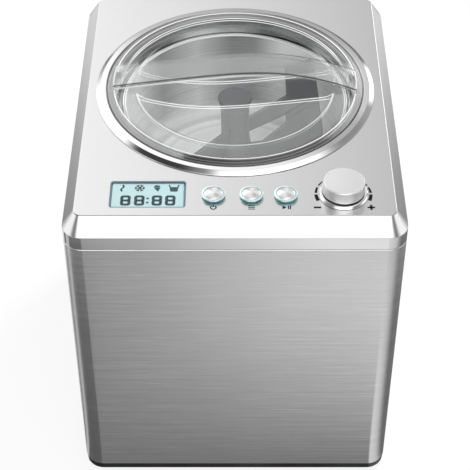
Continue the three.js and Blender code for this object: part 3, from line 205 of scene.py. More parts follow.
# Points along an arc between two angles in degrees.
def arcLine(x, y, radius, start, end, steps=16):
    angle = np.radians(np.linspace(start, end, steps + 1))
    return np.stack([x + radius * np.cos(angle), y + radius * np.sin(angle)], 1)


# The modifiers become part of the mesh.
def settle(piece):
    shown = piece.evaluated_get(bpy.context.evaluated_depsgraph_get())
    made = bpy.data.meshes.new_from_object(shown)
    piece.modifiers.clear()
    old, piece.data = piece.data, made
    made.name = piece.name
    bpy.data.meshes.remove(old)


# One object cut with another, or joined to it. The tool is used up.
def carve(piece, tool, how="DIFFERENCE"):
    modifier = piece.modifiers.new("carve", "BOOLEAN")
    modifier.operation, modifier.object, modifier.solver = how, tool, "EXACT"
    bpy.context.view_layer.update()
    settle(piece)
    bpy.data.objects.remove(tool)
    return piece


# Smooth faces that break at sharp edges, shading that follows the larger faces, the finish,
# the body it rides on and the CAD nodes it stands for.
def place(piece, finish, body, nodes=(), slot=None, angle=32, weighted=True):
    piece.data.materials.clear()
    piece.data.materials.append(finish)
    piece.data.shade_smooth()
    piece.data.set_sharp_from_angle(angle=math.radians(angle))
    if weighted:
        modifier = piece.modifiers.new("even shading", "WEIGHTED_NORMAL")
        modifier.keep_sharp, modifier.weight = True, 50
    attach(piece, body)
    if nodes:
        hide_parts(*nodes)
    return piece


# Shader tools

# One socket of a node tree. Sums and products of values add Math nodes to the tree.
class Val:
    def __init__(self, shader, socket):
        self.shader, self.socket = shader, socket

    def __add__(self, other):
        return self.shader.maths("ADD", self, other)

    __radd__ = __add__

    def __mul__(self, other):
        return self.shader.maths("MULTIPLY", self, other)

    __rmul__ = __mul__

    def __sub__(self, other):
        return self.shader.maths("SUBTRACT", self, other)

    def __rsub__(self, other):
        return self.shader.maths("SUBTRACT", other, self)

    def __truediv__(self, other):
        return self.shader.maths("DIVIDE", self, other)

    def __pow__(self, other):
        return self.shader.maths("POWER", self, other)


class Shader:
    def __init__(self, tree):
        tree.nodes.clear()
        self.tree = tree

    # A node of any type: its settings first, then the values or links of its sockets.
    def node(self, kind, settings=None, sockets=None, output=0):
        made = self.tree.nodes.new(kind)
        for name, value in (settings or {}).items():
            if name == "stops":
                ramp = made.color_ramp
                for at, colour in value[:-2]:
                    ramp.elements.new(at)
                for element, (at, colour) in zip(ramp.elements, value):
                    element.position, element.color = at, (*colour, 1)
            else:
                setattr(made, name, value)
        for name, value in (sockets or {}).items():
            if isinstance(value, Val):
                self.tree.links.new(value.socket, made.inputs[name])
            else:
                made.inputs[name].default_value = value
        return Val(self, made.outputs[output]) if len(made.outputs) else None

    def maths(self, operation, *values):
        return self.node("ShaderNodeMath", {"operation": operation}, dict(enumerate(values)))

    # Where the point lies on the piece, in metres.
    def where(self):
        return self.node("ShaderNodeTexCoord", output="Object")

    # The same, moved and stretched.
    def laid(self, scale=(1, 1, 1), shift=(0, 0, 0)):
        return self.node("ShaderNodeMapping", None, {"Vector": self.where(), "Scale": scale, "Location": shift})

    def noise(self, scale, detail=2.0, roughness=0.5, shift=(0, 0, 0)):
        scale = scale if hasattr(scale, "__len__") else (scale,) * 3
        sockets = {"Vector": self.laid(scale, shift), "Scale": 1.0, "Detail": detail, "Roughness": roughness}
        return self.node("ShaderNodeTexNoise", None, sockets)

    # Turned lines: noise that changes with the radius and the height alone.
    def rings(self, radius, z, fine):
        spot = self.node("ShaderNodeCombineXYZ", None, {0: radius * fine, 1: z * 1500})
        sockets = {"Vector": spot, "Scale": 1.0, "Detail": 2.0}
        return self.node("ShaderNodeTexNoise", {"noise_dimensions": "2D"}, sockets)

    # A grey that follows a value by a list of (value, level).
    def ramp(self, value, levels):
        return self.node("ShaderNodeValToRGB", {"stops": [(at, grey(level)) for at, level in levels]}, {0: value})

    # The greatest of some values.
    def most(self, first, *others):
        for other in others:
            first = self.maths("MAXIMUM", first, other)
        return first

    # A value turned from one range into another, held inside it.
    def ranged(self, value, fromLow, fromHigh, low=0.0, high=1.0, smooth=False):
        settings = {"interpolation_type": "SMOOTHSTEP" if smooth else "LINEAR"}
        return self.node("ShaderNodeMapRange", settings, {0: value, 1: fromLow, 2: fromHigh, 3: low, 4: high})

    def mixed(self, share, first, second, how="MIX"):
        def whole(colour):
            return colour if isinstance(colour, Val) else (*colour, 1)
        settings = {"data_type": "RGBA", "blend_type": how}
        return self.node("ShaderNodeMix", settings, {0: share, 6: whole(first), 7: whole(second)}, output=2)

    # Two surfaces mixed by a share.
    def blend(self, share, first, second):
        return self.node("ShaderNodeMixShader", None, {0: share, 1: first, 2: second})

    def dot(self, first, second):
        return self.node("ShaderNodeVectorMath", {"operation": "DOT_PRODUCT"}, {0: first, 1: second}, output="Value")

    def axes(self, place=None):
        split = self.node("ShaderNodeSeparateXYZ", None, {0: place or self.where()})
        return [Val(self, split.socket.node.outputs[k]) for k in range(3)]

    def facing(self):
        return self.axes(self.node("ShaderNodeNewGeometry", output="Normal"))

    # One for a ray of a kind, nothing for the others.
    def rays(self, *kinds):
        outputs = self.node("ShaderNodeLightPath").socket.node.outputs
        return [Val(self, outputs["Is " + kind + " Ray"]) for kind in kinds]

    # Place about an upright axis, in metres: x, y, height and radius.
    def about(self, centre):
        x, y, z = self.axes(self.laid(shift=(-centre[0] * mm, -centre[1] * mm, 0)))
        return x, y, z, self.maths("SQRT", x * x + y * y)

    # The angle about that axis as a share of a full turn.
    def turned(self, x, y):
        return self.maths("ARCTAN2", y, x) / tau + 0.5

    # Shading from a height in metres.
    def bump(self, height, distance=mm, strength=1.0):
        return self.node("ShaderNodeBump", None, {"Height": height, "Distance": distance, "Strength": strength})


def grey(value):
    return (value, value, value)


# A material from a recipe that returns the sockets of a Principled shader.
def finish(name, recipe, **wanted):
    made = bpy.data.materials.new(name)
    made.use_nodes = True
    shader = Shader(made.node_tree)
    sockets = recipe(shader, **wanted)
    if not isinstance(sockets, Val):
        sockets = shader.node("ShaderNodeBsdfPrincipled", None, sockets)
    shader.node("ShaderNodeOutputMaterial", None, {"Surface": sockets})
    return made


# Recipes for the finishes

# Steel brushed along x and y: noise drawn out along the brushing gives the lines their
# brightness, roughness and height, short bright dashes lie among them, and a slow noise
# lets the sheet's tone drift. It mirrors sharply along the brushing, softly across it.
def brushed(shader, tone, lines, drift, rough, fine=(6, 6, 950), dashes=0.04, depth=0.004, across=0.9):
    long = shader.noise(fine, 3.0, 0.6)
    short = shader.noise([k * m for k, m in zip(fine, (5, 5, 1.3))], 2.0, 0.5, shift=(3, 1, 7))
    slow = shader.noise(9, 2.0)
    line = long * 0.65 + short * 0.35
    level = shader.ranged(line, 0.25, 0.75, tone - lines, tone + lines) + (slow - 0.5) * (2 * drift)
    level = level + shader.ranged(short, 0.60, 0.72) * dashes
    return {
        "Base Color": shader.mixed(level, grey(0.0), grey(1.0)),
        "Metallic": 1.0,
        "Roughness": shader.ranged(line, 0.2, 0.8, rough - 0.06, rough + 0.08),
        "Anisotropic": across,
        "Anisotropic Rotation": 0.25,
        "Normal": shader.bump(line, depth * mm, 0.6),
    }


# The bowl's spun steel: the lathe's lines run round it, and light and dark sectors are painted on its wall by the angle
# round the axis and rings on its floor by the radius, as painted reflections of what it mirrors.
def spunBowl(shader, tone=0.92, rough=0.28):
    x, y, z, radius = shader.about((axisX, axisY))
    fans = shader.ramp(shader.turned(x, y), bowlPaintedReflections)
    floorPaintedRings = shader.ramp(radius * 10, bowlFloorPaintedRings)
    lines = shader.rings(radius, z, 1500)
    low, high = (corner[2] * mm for corner in boxOf("bowl"))
    reach = bowlRadius * mm
    wall = shader.ranged(z, low + 0.006, low + 0.016, smooth=True)
    # Painted highlights and shade on the rim's top: light lines at both edges, a grey land between, a dark line for the
    # gap outside it.
    rim = shader.ranged(z, high - 0.0011, high - 0.0008)
    rimPaintedLines = shader.ramp(shader.ranged(radius, reach - 0.0039, reach), rimPaintedHighlights)
    level = shader.mixed(rim, shader.mixed(wall, floorPaintedRings, fans) * tone, rimPaintedLines)
    return {
        "Base Color": shader.mixed(1.0, level, shader.mixed(lines, grey(0.94), grey(1.0)), "MULTIPLY"),
        "Metallic": shader.ranged(wall, 0, 1, 0.05, 0.25),
        "Roughness": shader.ranged(lines, 0.3, 0.7, rough - 0.03, rough + 0.04),
        "Normal": shader.bump(lines, 0.002 * mm, 0.4),
    }


# Satin metal skin, such as bead-blasted and lacquered steel: fine grain, faint cloud.
def satin(shader, tone, rough, grain, metal=1.0, cloud=0.02, depth=0.003):
    grainy = shader.noise(grain, 2.0, 0.6)
    cloudy = shader.noise(14, 3.0)
    return {
        "Base Color": (grainy - 0.5) * 0.06 + (cloudy - 0.5) * (2 * cloud) + tone,
        "Metallic": metal,
        "Roughness": shader.ranged(grainy, 0.3, 0.7, rough - 0.03, rough + 0.04) + (cloudy - 0.5) * 0.08,
        "Normal": shader.bump(grainy, depth * mm, 0.5),
    }


# The cover's satin skin, smoother on its sloped and upright faces than on the flat deck,
# with a painted dark line of shade where the front edge turns down and a painted highlight along the right edge.
def coverSkin(shader, tone=0.74, flat=0.25, sides=0.12):
    facing = shader.facing()
    grainy = shader.noise(2600, 2.0, 0.6)
    cloudy = shader.noise(14, 3.0)
    bend = shader.ranged(facing[2], 0.60, 0.66) * shader.ranged(facing[2], 0.985, 0.96)
    # Painted light: the front edge's rounding is darkened as painted shade, the right edge's rounding lightened as a
    # painted highlight.
    paintedEdgeShade = bend * shader.ranged(facing[1], -0.15, -0.25)
    lit = bend * shader.ranged(facing[0], 0.15, 0.25)
    level = (grainy - 0.5) * 0.06 + (cloudy - 0.5) * 0.04 + lit * 0.25 + tone
    return {
        "Base Color": shader.mixed(paintedEdgeShade * 0.6, shader.mixed(level, grey(0.0), grey(1.0)), grey(0.12)),
        "Metallic": 1.0,
        "Roughness": shader.ranged(facing[2], 0.6, 0.95, sides, flat) + (grainy - 0.5) * 0.08 + (cloudy - 0.5) * 0.06,
        "Normal": shader.bump(grainy, 0.003 * mm, 0.5),
    }


# Polished metal with the last fine marks of the wheel round an upright axis. Fans, where
# given, are painted reflections: lighter and darker sectors by the angle round it.
def polished(shader, tone, rough, centre, fans=None):
    x, y, z, radius = shader.about(centre)
    rings = shader.rings(radius, z, 2400)
    smear = shader.noise(30, 3.0)
    level = (rings - 0.5) * 0.08 + tone
    if fans:
        level = level * shader.ramp(shader.turned(x, y), fans)
    return {
        "Base Color": level,
        "Metallic": 1.0,
        "Roughness": shader.ranged(smear, 0.3, 0.7, rough * 0.8, rough * 1.3),
        "Normal": shader.bump(rings, 0.001 * mm, 0.4),
    }


# Moulded plastic: spark-eroded grain and a little cloud in the colour.
def moulded(shader, colour, rough=0.4, grain=1400, depth=0.02, cloud=0.12):
    grainy = shader.noise(grain, 2.0, 0.55)
    cloudy = shader.noise(25, 3.0)
    lighter = tuple(min(1, k * (1 + cloud) + 0.01) for k in colour)
    darker = tuple(k * (1 - cloud) for k in colour)
    return {
        "Base Color": shader.mixed(shader.ranged(cloudy, 0.35, 0.65), darker, lighter),
        "Roughness": shader.ranged(grainy, 0.3, 0.7, rough - 0.05, rough + 0.06),
        "Normal": shader.bump(grainy, depth * mm, 0.35),
    }


# Rubber: matt, with a dusty bloom on it.
def rubbery(shader, colour, rough=0.75):
    bloom = shader.noise(60, 4.0, 0.65)
    fine = shader.noise(2200, 2.0)
    dusty = tuple(k * 1.8 + 0.012 for k in colour)
    return {
        "Base Color": shader.mixed(shader.ranged(bloom, 0.45, 0.75), colour, dusty),
        "Roughness": shader.ranged(bloom, 0.3, 0.7, rough - 0.08, rough + 0.12),
        "Normal": shader.bump(fine, 0.015 * mm, 0.4),
    }


# Copper tube: drawn lines along it and brown tarnish in patches.
def drawnCopper(shader, fresh=(0.80, 0.42, 0.26), dull=(0.36, 0.17, 0.10)):
    patch = shader.noise(55, 4.0, 0.6)
    fine = shader.noise(900, 2.0)
    return {
        "Base Color": shader.mixed(shader.ranged(patch, 0.35, 0.7), fresh, dull),
        "Metallic": 1.0,
        "Roughness": shader.ranged(patch, 0.3, 0.75, 0.24, 0.55),
        "Normal": shader.bump(fine, 0.006 * mm, 0.5),
    }


# Blown foam: closed cells with a yellowed skin over them.
def foamed(shader, pale=(0.86, 0.79, 0.56), deep=(0.62, 0.50, 0.26)):
    cell = shader.node("ShaderNodeTexVoronoi", None, {"Vector": shader.laid((650, 650, 650)), "Scale": 1.0})
    cloudy = shader.noise(22, 4.0, 0.6)
    return {
        "Base Color": shader.mixed(shader.ranged(cloudy + cell * 0.25, 0.4, 0.9), pale, deep),
        "Roughness": 0.92,
        "Normal": shader.bump(cell, 0.35 * mm, 0.6),
    }


# Circuit board: lacquer over copper tracks laid on a square grid, with plated dots.
def boarded(shader, lacquer=(0.018, 0.16, 0.065), track=(0.03, 0.26, 0.11), tin=(0.72, 0.72, 0.68)):
    x, y, z = shader.axes(shader.laid((400, 400, 400)))
    way = shader.noise(90, 0.0, 0.0, shift=(2, 5, 1))
    fromX, fromY = (shader.maths("PINGPONG", k, 0.5) for k in (x, y))
    across = shader.maths("LESS_THAN", fromX, 0.13) * shader.maths("GREATER_THAN", way, 0.52)
    along = shader.maths("LESS_THAN", fromY, 0.13) * shader.maths("LESS_THAN", way, 0.48)
    line = shader.most(across, along)
    inDot = shader.maths("LESS_THAN", fromX * fromX + fromY * fromY, 0.035)
    dot = inDot * shader.maths("GREATER_THAN", shader.noise(160, 0.0), 0.6)
    return {
        "Base Color": shader.mixed(dot, shader.mixed(line, lacquer, track), tin),
        "Metallic": dot,
        "Roughness": shader.ranged(line, 0, 1, 0.42, 0.3) - dot * 0.05,
        "Normal": shader.bump(line + dot * 2, 0.04 * mm, 0.5),
    }


# Cast or rolled metal of the machine inside: coarse skin and stains.
def worked(shader, tone, rough, skin, depth, tint=(1, 1, 1), stain=0.25):
    rind = shader.noise(skin, 3.0, 0.6)
    stains = shader.noise(32, 4.0, 0.65)
    level = shader.ranged(stains, 0.3, 0.75, tone * (1 + 0.4 * stain), tone * (1 - stain))
    return {
        "Base Color": shader.mixed(1.0, level, tint, "MULTIPLY"),
        "Metallic": 1.0,
        "Roughness": shader.ranged(stains, 0.3, 0.7, rough - 0.08, rough + 0.12),
        "Normal": shader.bump(rind, depth * mm, 0.5),
    }


# Clear moulded plastic that is seen straight through. Each of its faces mirrors a share of
# the light, base + (1 - base) * slant^5 after Schlick, and it darkens where it is seen at a
# slant. A haze with painted highlight and shade lines, given by a recipe of its own, lies over it.
def clear(shader, tint=(0.985, 0.99, 0.99), rough=0.03, base=0.035, dark=0.45, edgeFrom=0.72, wave=6.0, haze=None):
    flow = shader.noise(16, 2.0)
    fine = shader.noise(1900, 2.0)
    normal = shader.bump(flow * wave + fine * 0.02, 0.06 * mm, 0.25)
    slant = shader.node("ShaderNodeLayerWeight", None, {"Blend": 0.5}, output="Facing")
    passing = shader.node("ShaderNodeBsdfTransparent", None, {"Color": (*tint, 1)})
    edge = shader.node("ShaderNodeBsdfTransparent", None, {"Color": (*(k * dark for k in tint), 1)})
    through = shader.blend(shader.ranged(slant, edgeFrom, 1.0, smooth=True), passing, edge)
    gloss = shader.node("ShaderNodeBsdfPrincipled", None, {
        "Base Color": shader.mixed(flow, grey(1.0), grey(0.97)), "Metallic": 1.0,
        "Roughness": shader.ranged(fine, 0.3, 0.7, rough * 0.8, rough * 1.3), "Normal": normal})
    glass = shader.blend(slant ** 5 * (1 - base) + base, through, gloss)
    if haze:
        share, milkyWithPaintedLines = haze(shader)
        glass = shader.blend(share, glass, milkyWithPaintedLines)
    return glass


print("tools ready")

# Measures that the pieces share, some read from the CAD model and some given

deckHigh = boxOf("top_cover")[1]
halfWidth, halfDepth, deckZ = deckHigh
ringLow, ringHigh = boxOf("bezel_ring")
axisX, axisY = (ringLow[:2] + ringHigh[:2]) / 2
bowlRadius = boxOf("bowl")[1][0] - axisX
cabinet = {"corner": 16.5, "wall": 1.0, "gap": 0.3}

lid = {
    "wall": 2.2, "edgeRise": 2.8, "edgeWall": 1.2, "edgeWidth": 5.7, "lipRise": 5.8, "shelfRise": 4.5,
    "shelfWidth": 20.5,
    "pocketDepth": 8.0, "pocketRim": 1.0, "pocketFillet": 5.0, "plugRadius": 100.4, "plugDrop": 5.0,
    "barEndRise": 8.0, "barTop": 30.6, "barFoot": 33.6, "barShift": 0.8, "barSway": 4.3, "barSlant": 0.028,
    "barRound": 1.6,
}
lidLow, lidHigh = boxOf("lid")
lidRadius = lidHigh[0] - axisX
lipRadius = lidRadius - lid["edgeWidth"]
pocketRadius = lipRadius - lid["shelfWidth"]

# Painted reflections, highlights and shade by the angle, as (share of a turn from the left, level), and by the radius.
collarPaintedReflections = [(0.0, 0.9), (0.60, 1.0), (0.63, 0.22), (0.71, 0.25), (0.735, 0.95), (0.82, 0.95), (0.85, 0.25),
              (0.90, 0.25), (0.93, 0.9), (1.0, 0.9)]
ringPaintedReflections = [(0.0, 1.0), (0.30, 1.0), (0.34, 0.85), (0.37, 0.55), (0.42, 0.6), (0.45, 0.85), (0.52, 0.9), (0.60, 0.6),
            (0.75, 0.5), (0.88, 0.55), (0.94, 0.9), (1.0, 1.0)]
bowlPaintedReflections = [(0.0, 0.85), (0.06, 1.04), (0.12, 0.95), (0.20, 0.9), (0.35, 0.9), (0.50, 0.85), (0.62, 0.95),
            (0.675, 1.04), (0.72, 0.42),
            (0.755, 0.42), (0.81, 1.04), (0.875, 0.5), (0.93, 1.04), (0.975, 0.85), (1.0, 0.85)]
bowlFloorPaintedRings = [(0.0, 1.08), (0.52, 1.08), (0.60, 1.0), (0.66, 1.08), (0.70, 0.85), (0.73, 1.08), (0.77, 1.08),
             (0.80, 0.65), (0.84, 0.7), (0.9, 0.9)]
rimPaintedHighlights = [(0.0, 1.0), (0.20, 1.0), (0.26, 0.5), (0.42, 0.5), (0.48, 1.0), (0.70, 1.0), (0.76, 0.05), (1.0, 0.05)]
lidFinish = {"veil": 0.06, "barPaintedGrey": 0.42, "hazeTone": 0.26, "slope": 0.5, "rear": 0.72, "dark": 0.85, "bright": 0.75}

# Where each painted line of the lid starts and ends, past the radius or edge that it follows.
lidLines = {
    "barFront": (-2.4, -0.5), "barBack": (0.7, 1.6), "barCrown": (1.1, 2.5), "barFoot": (0.3, 1.2),
    "crescent": (0.6, -1.6),
    "edge": (-0.9, 1.0), "pocketEdge": (1.8, 2.6), "pocketRim": (0.2, 1.3), "lipInside": (-1.3, -0.3),
    "lipOutside": (1.4, 2.2), "shelf": (-8.2, -7.4), "shelfRear": (-7.2, -1.6), "slope": (-0.3, 0.0),
}


# A soft-edged line: one where the value lies between two limits, nothing past them.
def lineAt(shader, value, start, end, soft=0.3):
    return shader.ranged(value, start - soft, start) * shader.ranged(value, end + soft, end)


# The lid's haze and painted light: a thin veil on every face that looks up, a painted grey on the bar's top, on the
# slope of its edge and on the rear shelf, standing in for reflections, and painted dark and bright lines standing in
# for shade and
# highlights where the moulding bends: round the lid's edge and lip, at the pocket's rim, along the bar's top and at its
# foot.
# Radius, height and the distance from the bar's middle line tell them apart.
def lidHazeAndPaintedLines(shader):
    facing = shader.facing()
    x, y, z = (k / mm for k in shader.axes())
    radius = shader.maths("SQRT", x * x + (y - axisY) * (y - axisY))
    sway = shader.maths("SINE", x * (math.pi / lipRadius)) * lid["barSway"]
    ahead = axisY + lid["barShift"] - x * lid["barSlant"] + sway - y

    def line(part, value, start, end=None):
        first, last = lidLines[part]
        return lineAt(shader, value, start + first, (start if end is None else end) + last)

    upward = shader.ranged(facing[2], 0.25, 0.45)
    bar = shader.ranged(z, deckZ + 6.8, deckZ + 7.6)
    level = shader.ranged(facing[2], 0.95, 0.985) * bar
    crown = lidHigh[2] - x * x * ((lidHigh[2] - deckZ - lid["barEndRise"]) / lipRadius ** 2)
    halfTop = lid["barTop"] / 2
    front = line("barFront", ahead, halfTop) * bar * shader.ranged(facing[2], 0.3, 0.5)
    back = line("barBack", ahead, -halfTop) * bar * shader.ranged(x, 10, 30)
    inFront = shader.ranged(y, -30, -70, smooth=True)
    crescent = line("crescent", radius, lipRadius, lidRadius) * inFront * shader.ranged(x, -48, -40)
    pocketEdge = line("pocketEdge", radius, pocketRadius) * shader.ranged(x, 20, -40) * shader.ranged(y, 10, 0) * 0.7
    edge = shader.most(line("edge", radius, lidRadius), pocketEdge)
    # Painted shade: near-black lines at the bends.
    dark = shader.most(front, back, shader.most(edge, crescent) * upward)
    below = line("barCrown", crown - z, 0) * shader.ranged(ahead, 14, 15) * bar * shader.ranged(x, 60, 0)
    lip = line("lipOutside", radius, lipRadius) * shader.ranged(crescent, 0.5, 0)
    lip = line("lipInside", radius, lipRadius) + lip
    rim = line("pocketRim", radius, pocketRadius) * shader.ranged(y, 70, 40)
    shelfLine = line("shelf", radius, lipRadius) * shader.ranged(y, 30, 60)
    beside = shader.maths("ABSOLUTE", ahead) - lid["barFoot"] / 2
    foot = line("barFoot", beside, 0) * shader.ranged(radius, pocketRadius + 1, pocketRadius)
    # Painted highlights: pale lines at the bends.
    bright = shader.most(below, (lip + shelfLine + foot + rim * 0.6) * upward)
    slope = line("slope", radius, lipRadius, lidRadius) * upward
    rear = line("shelfRear", radius, lipRadius) * shader.ranged(y, 20, 45) * upward
    fine = shader.noise(1200, 3.0)
    pale = shader.most(level, rear, slope)
    tone = shader.mixed(pale, grey(0.95), shader.mixed(rear, grey(lidFinish["hazeTone"]), grey(0.13)))
    milkyWithPaintedLines = shader.node("ShaderNodeBsdfPrincipled", None, {
        "Base Color": shader.mixed(dark, tone, grey(0.012)), "Roughness": shader.ranged(fine, 0.3, 0.7, 0.35, 0.5),
        "Coat Weight": 0.3, "Normal": shader.bump(fine, 0.004 * mm, 0.4)})
    veil = upward * shader.ranged(ahead, 14, 18) * lidFinish["veil"]
    share = veil + level * lidFinish["barPaintedGrey"] + slope * lidFinish["slope"] + rear * lidFinish["rear"]
    return shader.most(share, dark * lidFinish["dark"], bright * lidFinish["bright"]), milkyWithPaintedLines


# Finishes of the outside

steelWrap = finish("brushed steel sheet", brushed, tone=0.72, lines=0.075, drift=0.03, rough=0.22)
deckSkin = finish("satin silver deck", coverSkin)
chromeRing = finish("polished ring", polished, tone=0.88, rough=0.09, centre=(axisX, axisY), fans=ringPaintedReflections)
collarPlastic = finish("collar skin", polished, tone=0.78, rough=0.14, centre=(axisX, axisY), fans=collarPaintedReflections)
clearPlastic = finish("clear lid plastic", clear, haze=lidHazeAndPaintedLines)
bowlSteel = finish("bowl steel", spunBowl)
barrelSkin = finish("barrel aluminium", worked, tone=0.68, rough=0.35, skin=1400, depth=0.01, stain=0.12)
paddlePlastic = finish("paddle plastic", moulded, colour=(0.072, 0.073, 0.075), rough=0.36, cloud=0.04, depth=0.008)
blackPlastic = finish("gloss black base", moulded, colour=(0.010, 0.010, 0.011), rough=0.16, depth=0.005, cloud=0.3)
footRubber = finish("foot rubber", rubbery, colour=(0.014, 0.014, 0.015))
panelSteel = finish("rear panel steel", satin, tone=0.42, rough=0.42, grain=900, depth=0.02)
screwSteel = finish("screw steel", worked, tone=0.62, rough=0.3, skin=1500, depth=0.008, stain=0.15)
glandRubber = finish("gland rubber", rubbery, colour=(0.012, 0.012, 0.013), rough=0.62)

# Cover: skirt, sloped edge and flat deck as one thin shell

cover = {
    "bottom": 281.0, "shoulderDrop": 15.0, "slopeRun": 10.0, "wall": 2.0, "lipDrop": 8.0, "lipWall": 1.6,
    "shoulderRound": 0.9, "deckRound": 1.1, "openingRadius": 106.0, "buttonHole": 9.15, "knobHole": 5.2,
}


def carryRound(profile, **settings):
    return carry(profile, halfWidth, halfDepth, cabinet["corner"], **settings)


def makeCover():
    bottom, top, run = cover["bottom"], deckZ, cover["slopeRun"]
    shoulder = top - cover["shoulderDrop"]
    outside = softLine([
        (1.6, bottom, 0), (0, bottom, 0.35), (0, shoulder, cover["shoulderRound"]),
        (run, top, cover["deckRound"]), (run + 3, top, 0)])
    wall = cover["wall"]
    slope = cover["shoulderDrop"] / run
    innerRun = run - wall * (1 - (math.hypot(1, slope) - 1) / slope)
    inside = softLine([
        (wall, bottom - 3, 0), (wall, top - wall - innerRun * slope, 0.6),
        (wall + innerRun, top - wall, 0.6), (wall + innerRun + 2, top - wall, 0)])
    piece = makePiece("topCover", carryRound(outside, steps=14))
    carve(piece, makePiece("coverInside", carryRound(inside, steps=14)))
    carve(piece, makePiece("wellHole", turn(drum(cover["openingRadius"], top - 12, top + 9), axisX, axisY, 240)))
    pane = middleOf("display_window")
    half = boxOf("display_window")[1] - pane - display["flange"] + 0.3
    carve(piece, makePiece("windowHole", carry(
        [(0, top - 9), (0, top + 9)], half[0], half[1], display["corner"] + 0.3, pane[0], pane[1])))
    holes = [(middleOf(k + "_button"), cover["buttonHole"]) for k in ("power", "menu", "start")]
    holes.append((middleOf("knob"), cover["knobHole"]))
    carve(piece, makePiece("roundHoles", *[
        turn(drum(radius, top - 9, top + 9), at[0], at[1], 72) for at, radius in holes]))
    return piece


display = {"flange": 2.4, "corner": 2.5, "rim": 1.2, "line": 0.8}
place(makeCover(), deckSkin, "cabinet", ["top_cover"], "silver_deck")

lipInset = cabinet["wall"] + cabinet["gap"]
lipLow, lipHigh = cover["bottom"] - cover["lipDrop"], cover["bottom"] + 5
coverLip = makePiece("coverLip", carryRound(softLoop(
    band(lipInset, lipInset + cover["lipWall"], lipLow, lipHigh, (0.3, 0.3, 0.2, 0.2)), 3), closed=True))
place(coverLip, deckSkin, "cabinet", slot="silver_deck")
print("cover made")

# Steel wrap: one sheet bent round the front and sides, folded in behind, slotted low down

wrap = {"fold": 20.0, "round": 0.3, "topRound": 0.85, "slots": 8, "slotPitch": 9.0, "slotHigh": 3.0, "slotLong": 76.0,
        "slotFoot": 34.5}


# The sheet's section, a narrow rectangle with round edges, carried along the bent plan.
# The plan at an inset is the outline drawn in by it, with its corner radii less the inset.
def makeWrap():
    low, high = (corner[2] for corner in boxOf("body_wrap"))
    thick, soft = cabinet["wall"], wrap["round"]
    section = softLoop([(0, low, soft), (0, high, wrap["topRound"]), (thick, high, 0.1), (thick, low, soft)], 4)
    rear = halfWidth - cabinet["corner"] - wrap["fold"]

    def planLine(inset):
        x, y, corner = halfWidth - inset, halfDepth - inset, cabinet["corner"] - inset
        corners = [(rear, y, 0), (x, y, corner), (x, -y, corner), (-x, -y, corner), (-x, y, corner), (-rear, y, 0)]
        return softLine(corners, 16)

    outer, inner = planLine(0), planLine(thick)
    share = section[:, 0] / thick
    grid = np.empty((len(outer), len(section), 3))
    grid[..., :2] = outer[:, None] * (1 - share[None, :, None]) + inner[:, None] * share[None, :, None]
    grid[..., 2] = section[:, 1]
    piece = makePiece("bodyWrap", skin(grid))
    vent = middleOf("condenser")[1]
    cuts = []
    for k in range(wrap["slots"]):
        z = wrap["slotFoot"] + wrap["slotPitch"] * k + wrap["slotHigh"] / 2
        cuts.append(roundSlot(wrap["slotLong"], wrap["slotHigh"], -halfWidth - 5, halfWidth + 5, vent, z, [2, 0, 1]))
    return carve(piece, makePiece("sideSlots", *cuts))


place(makeWrap(), steelWrap, "cabinet", ["body_wrap"], "steel_wrap")
print("wrap made")

# Base pan with its pins, and the feet

base = {"strip": 0.6, "stripHigh": 13.0, "rim": 24.2, "wall": 2.2, "pin": 2.6, "pinHigh": 17.5, "socket": 4.3}


def makeBase():
    low = boxOf("base_pan")[0][2]
    inset, wall = lipInset, base["wall"]
    high = low + base["rim"]
    profile = softLine([
        (9, low, 0), (base["strip"], low, 1.4), (base["strip"], base["stripHigh"], 0.3),
        (inset, base["stripHigh"], 0.1),
        (inset, high, 0.4), (inset + wall, high, 0.4), (inset + wall, low + wall, 1.6), (9, low + wall, 0)])
    piece = makePiece("basePan", carryRound(profile, steps=14))
    vents = [roundSlot(60, 3, low - 4, low + 9, 20, -58.5 + 8 * k) for k in range(5)]
    feet = [middleOf("foot_" + k) for k in corners]
    sockets = [turn(drum(base["socket"], low - 4, low + 9), at[0], at[1], 40) for at in feet]
    carve(piece, makePiece("baseHoles", *vents, *sockets))
    pins = [middleOf("compressor_grommet_" + k) for k in corners]
    pinFoot, pinTop = low + wall - 0.5, low + wall + base["pinHigh"]
    pinLine = softLine([(0, pinFoot, 0), (base["pin"], pinFoot, 0), (base["pin"], pinTop, 0.6), (0, pinTop, 0)], 4)
    studs = makePiece("basePins", *[turn(pinLine, at[0], at[1], 32) for at in pins])
    return piece, studs


corners = ["front_left", "front_right", "rear_left", "rear_right"]
basePan, basePins = makeBase()
place(basePan, blackPlastic, "cabinet", ["base_pan"], "base_plastic")
place(basePins, blackPlastic, "cabinet", slot="base_plastic")

foot = {"groove": 0.5, "round": 1.2, "recess": 1.0, "shoulder": 5.7}
for k in corners:
    low, high = boxOf("foot_" + k)
    x, y, _ = (low + high) / 2
    radius, top = (high[0] - low[0]) / 2, foot["shoulder"]
    profile = softLine([
        (0, low[2] + foot["recess"], 0), (radius - 3.5, low[2] + foot["recess"], 0.6), (radius - 3, low[2], 0.4),
        (radius, low[2], foot["round"]), (radius - 0.55, 2.6, 0.2), (radius - 0.55 - foot["groove"], 2.9, 0.1),
        (radius - 0.6, 3.2, 0.2), (radius - 1, top, 0.6), (4, top, 0.2), (4, high[2] - 0.6, 0.6), (0, high[2], 0)], 4)
    rubber = makePiece("foot" + k.title().replace("_", ""), turn(profile, x, y, 64))
    place(rubber, footRubber, "cabinet", ["foot_" + k], "foot_rubber")
print("base made")

# Rear panel with its screws, and the gland that a lead would come through

rear = {"margin": 19.0, "plate": 2.6, "slotLong": 62.0, "slotHigh": 3.0, "slotPitch": 9.0, "slotSide": 38,
        "screw": 3.2, "screwRise": 1.7}


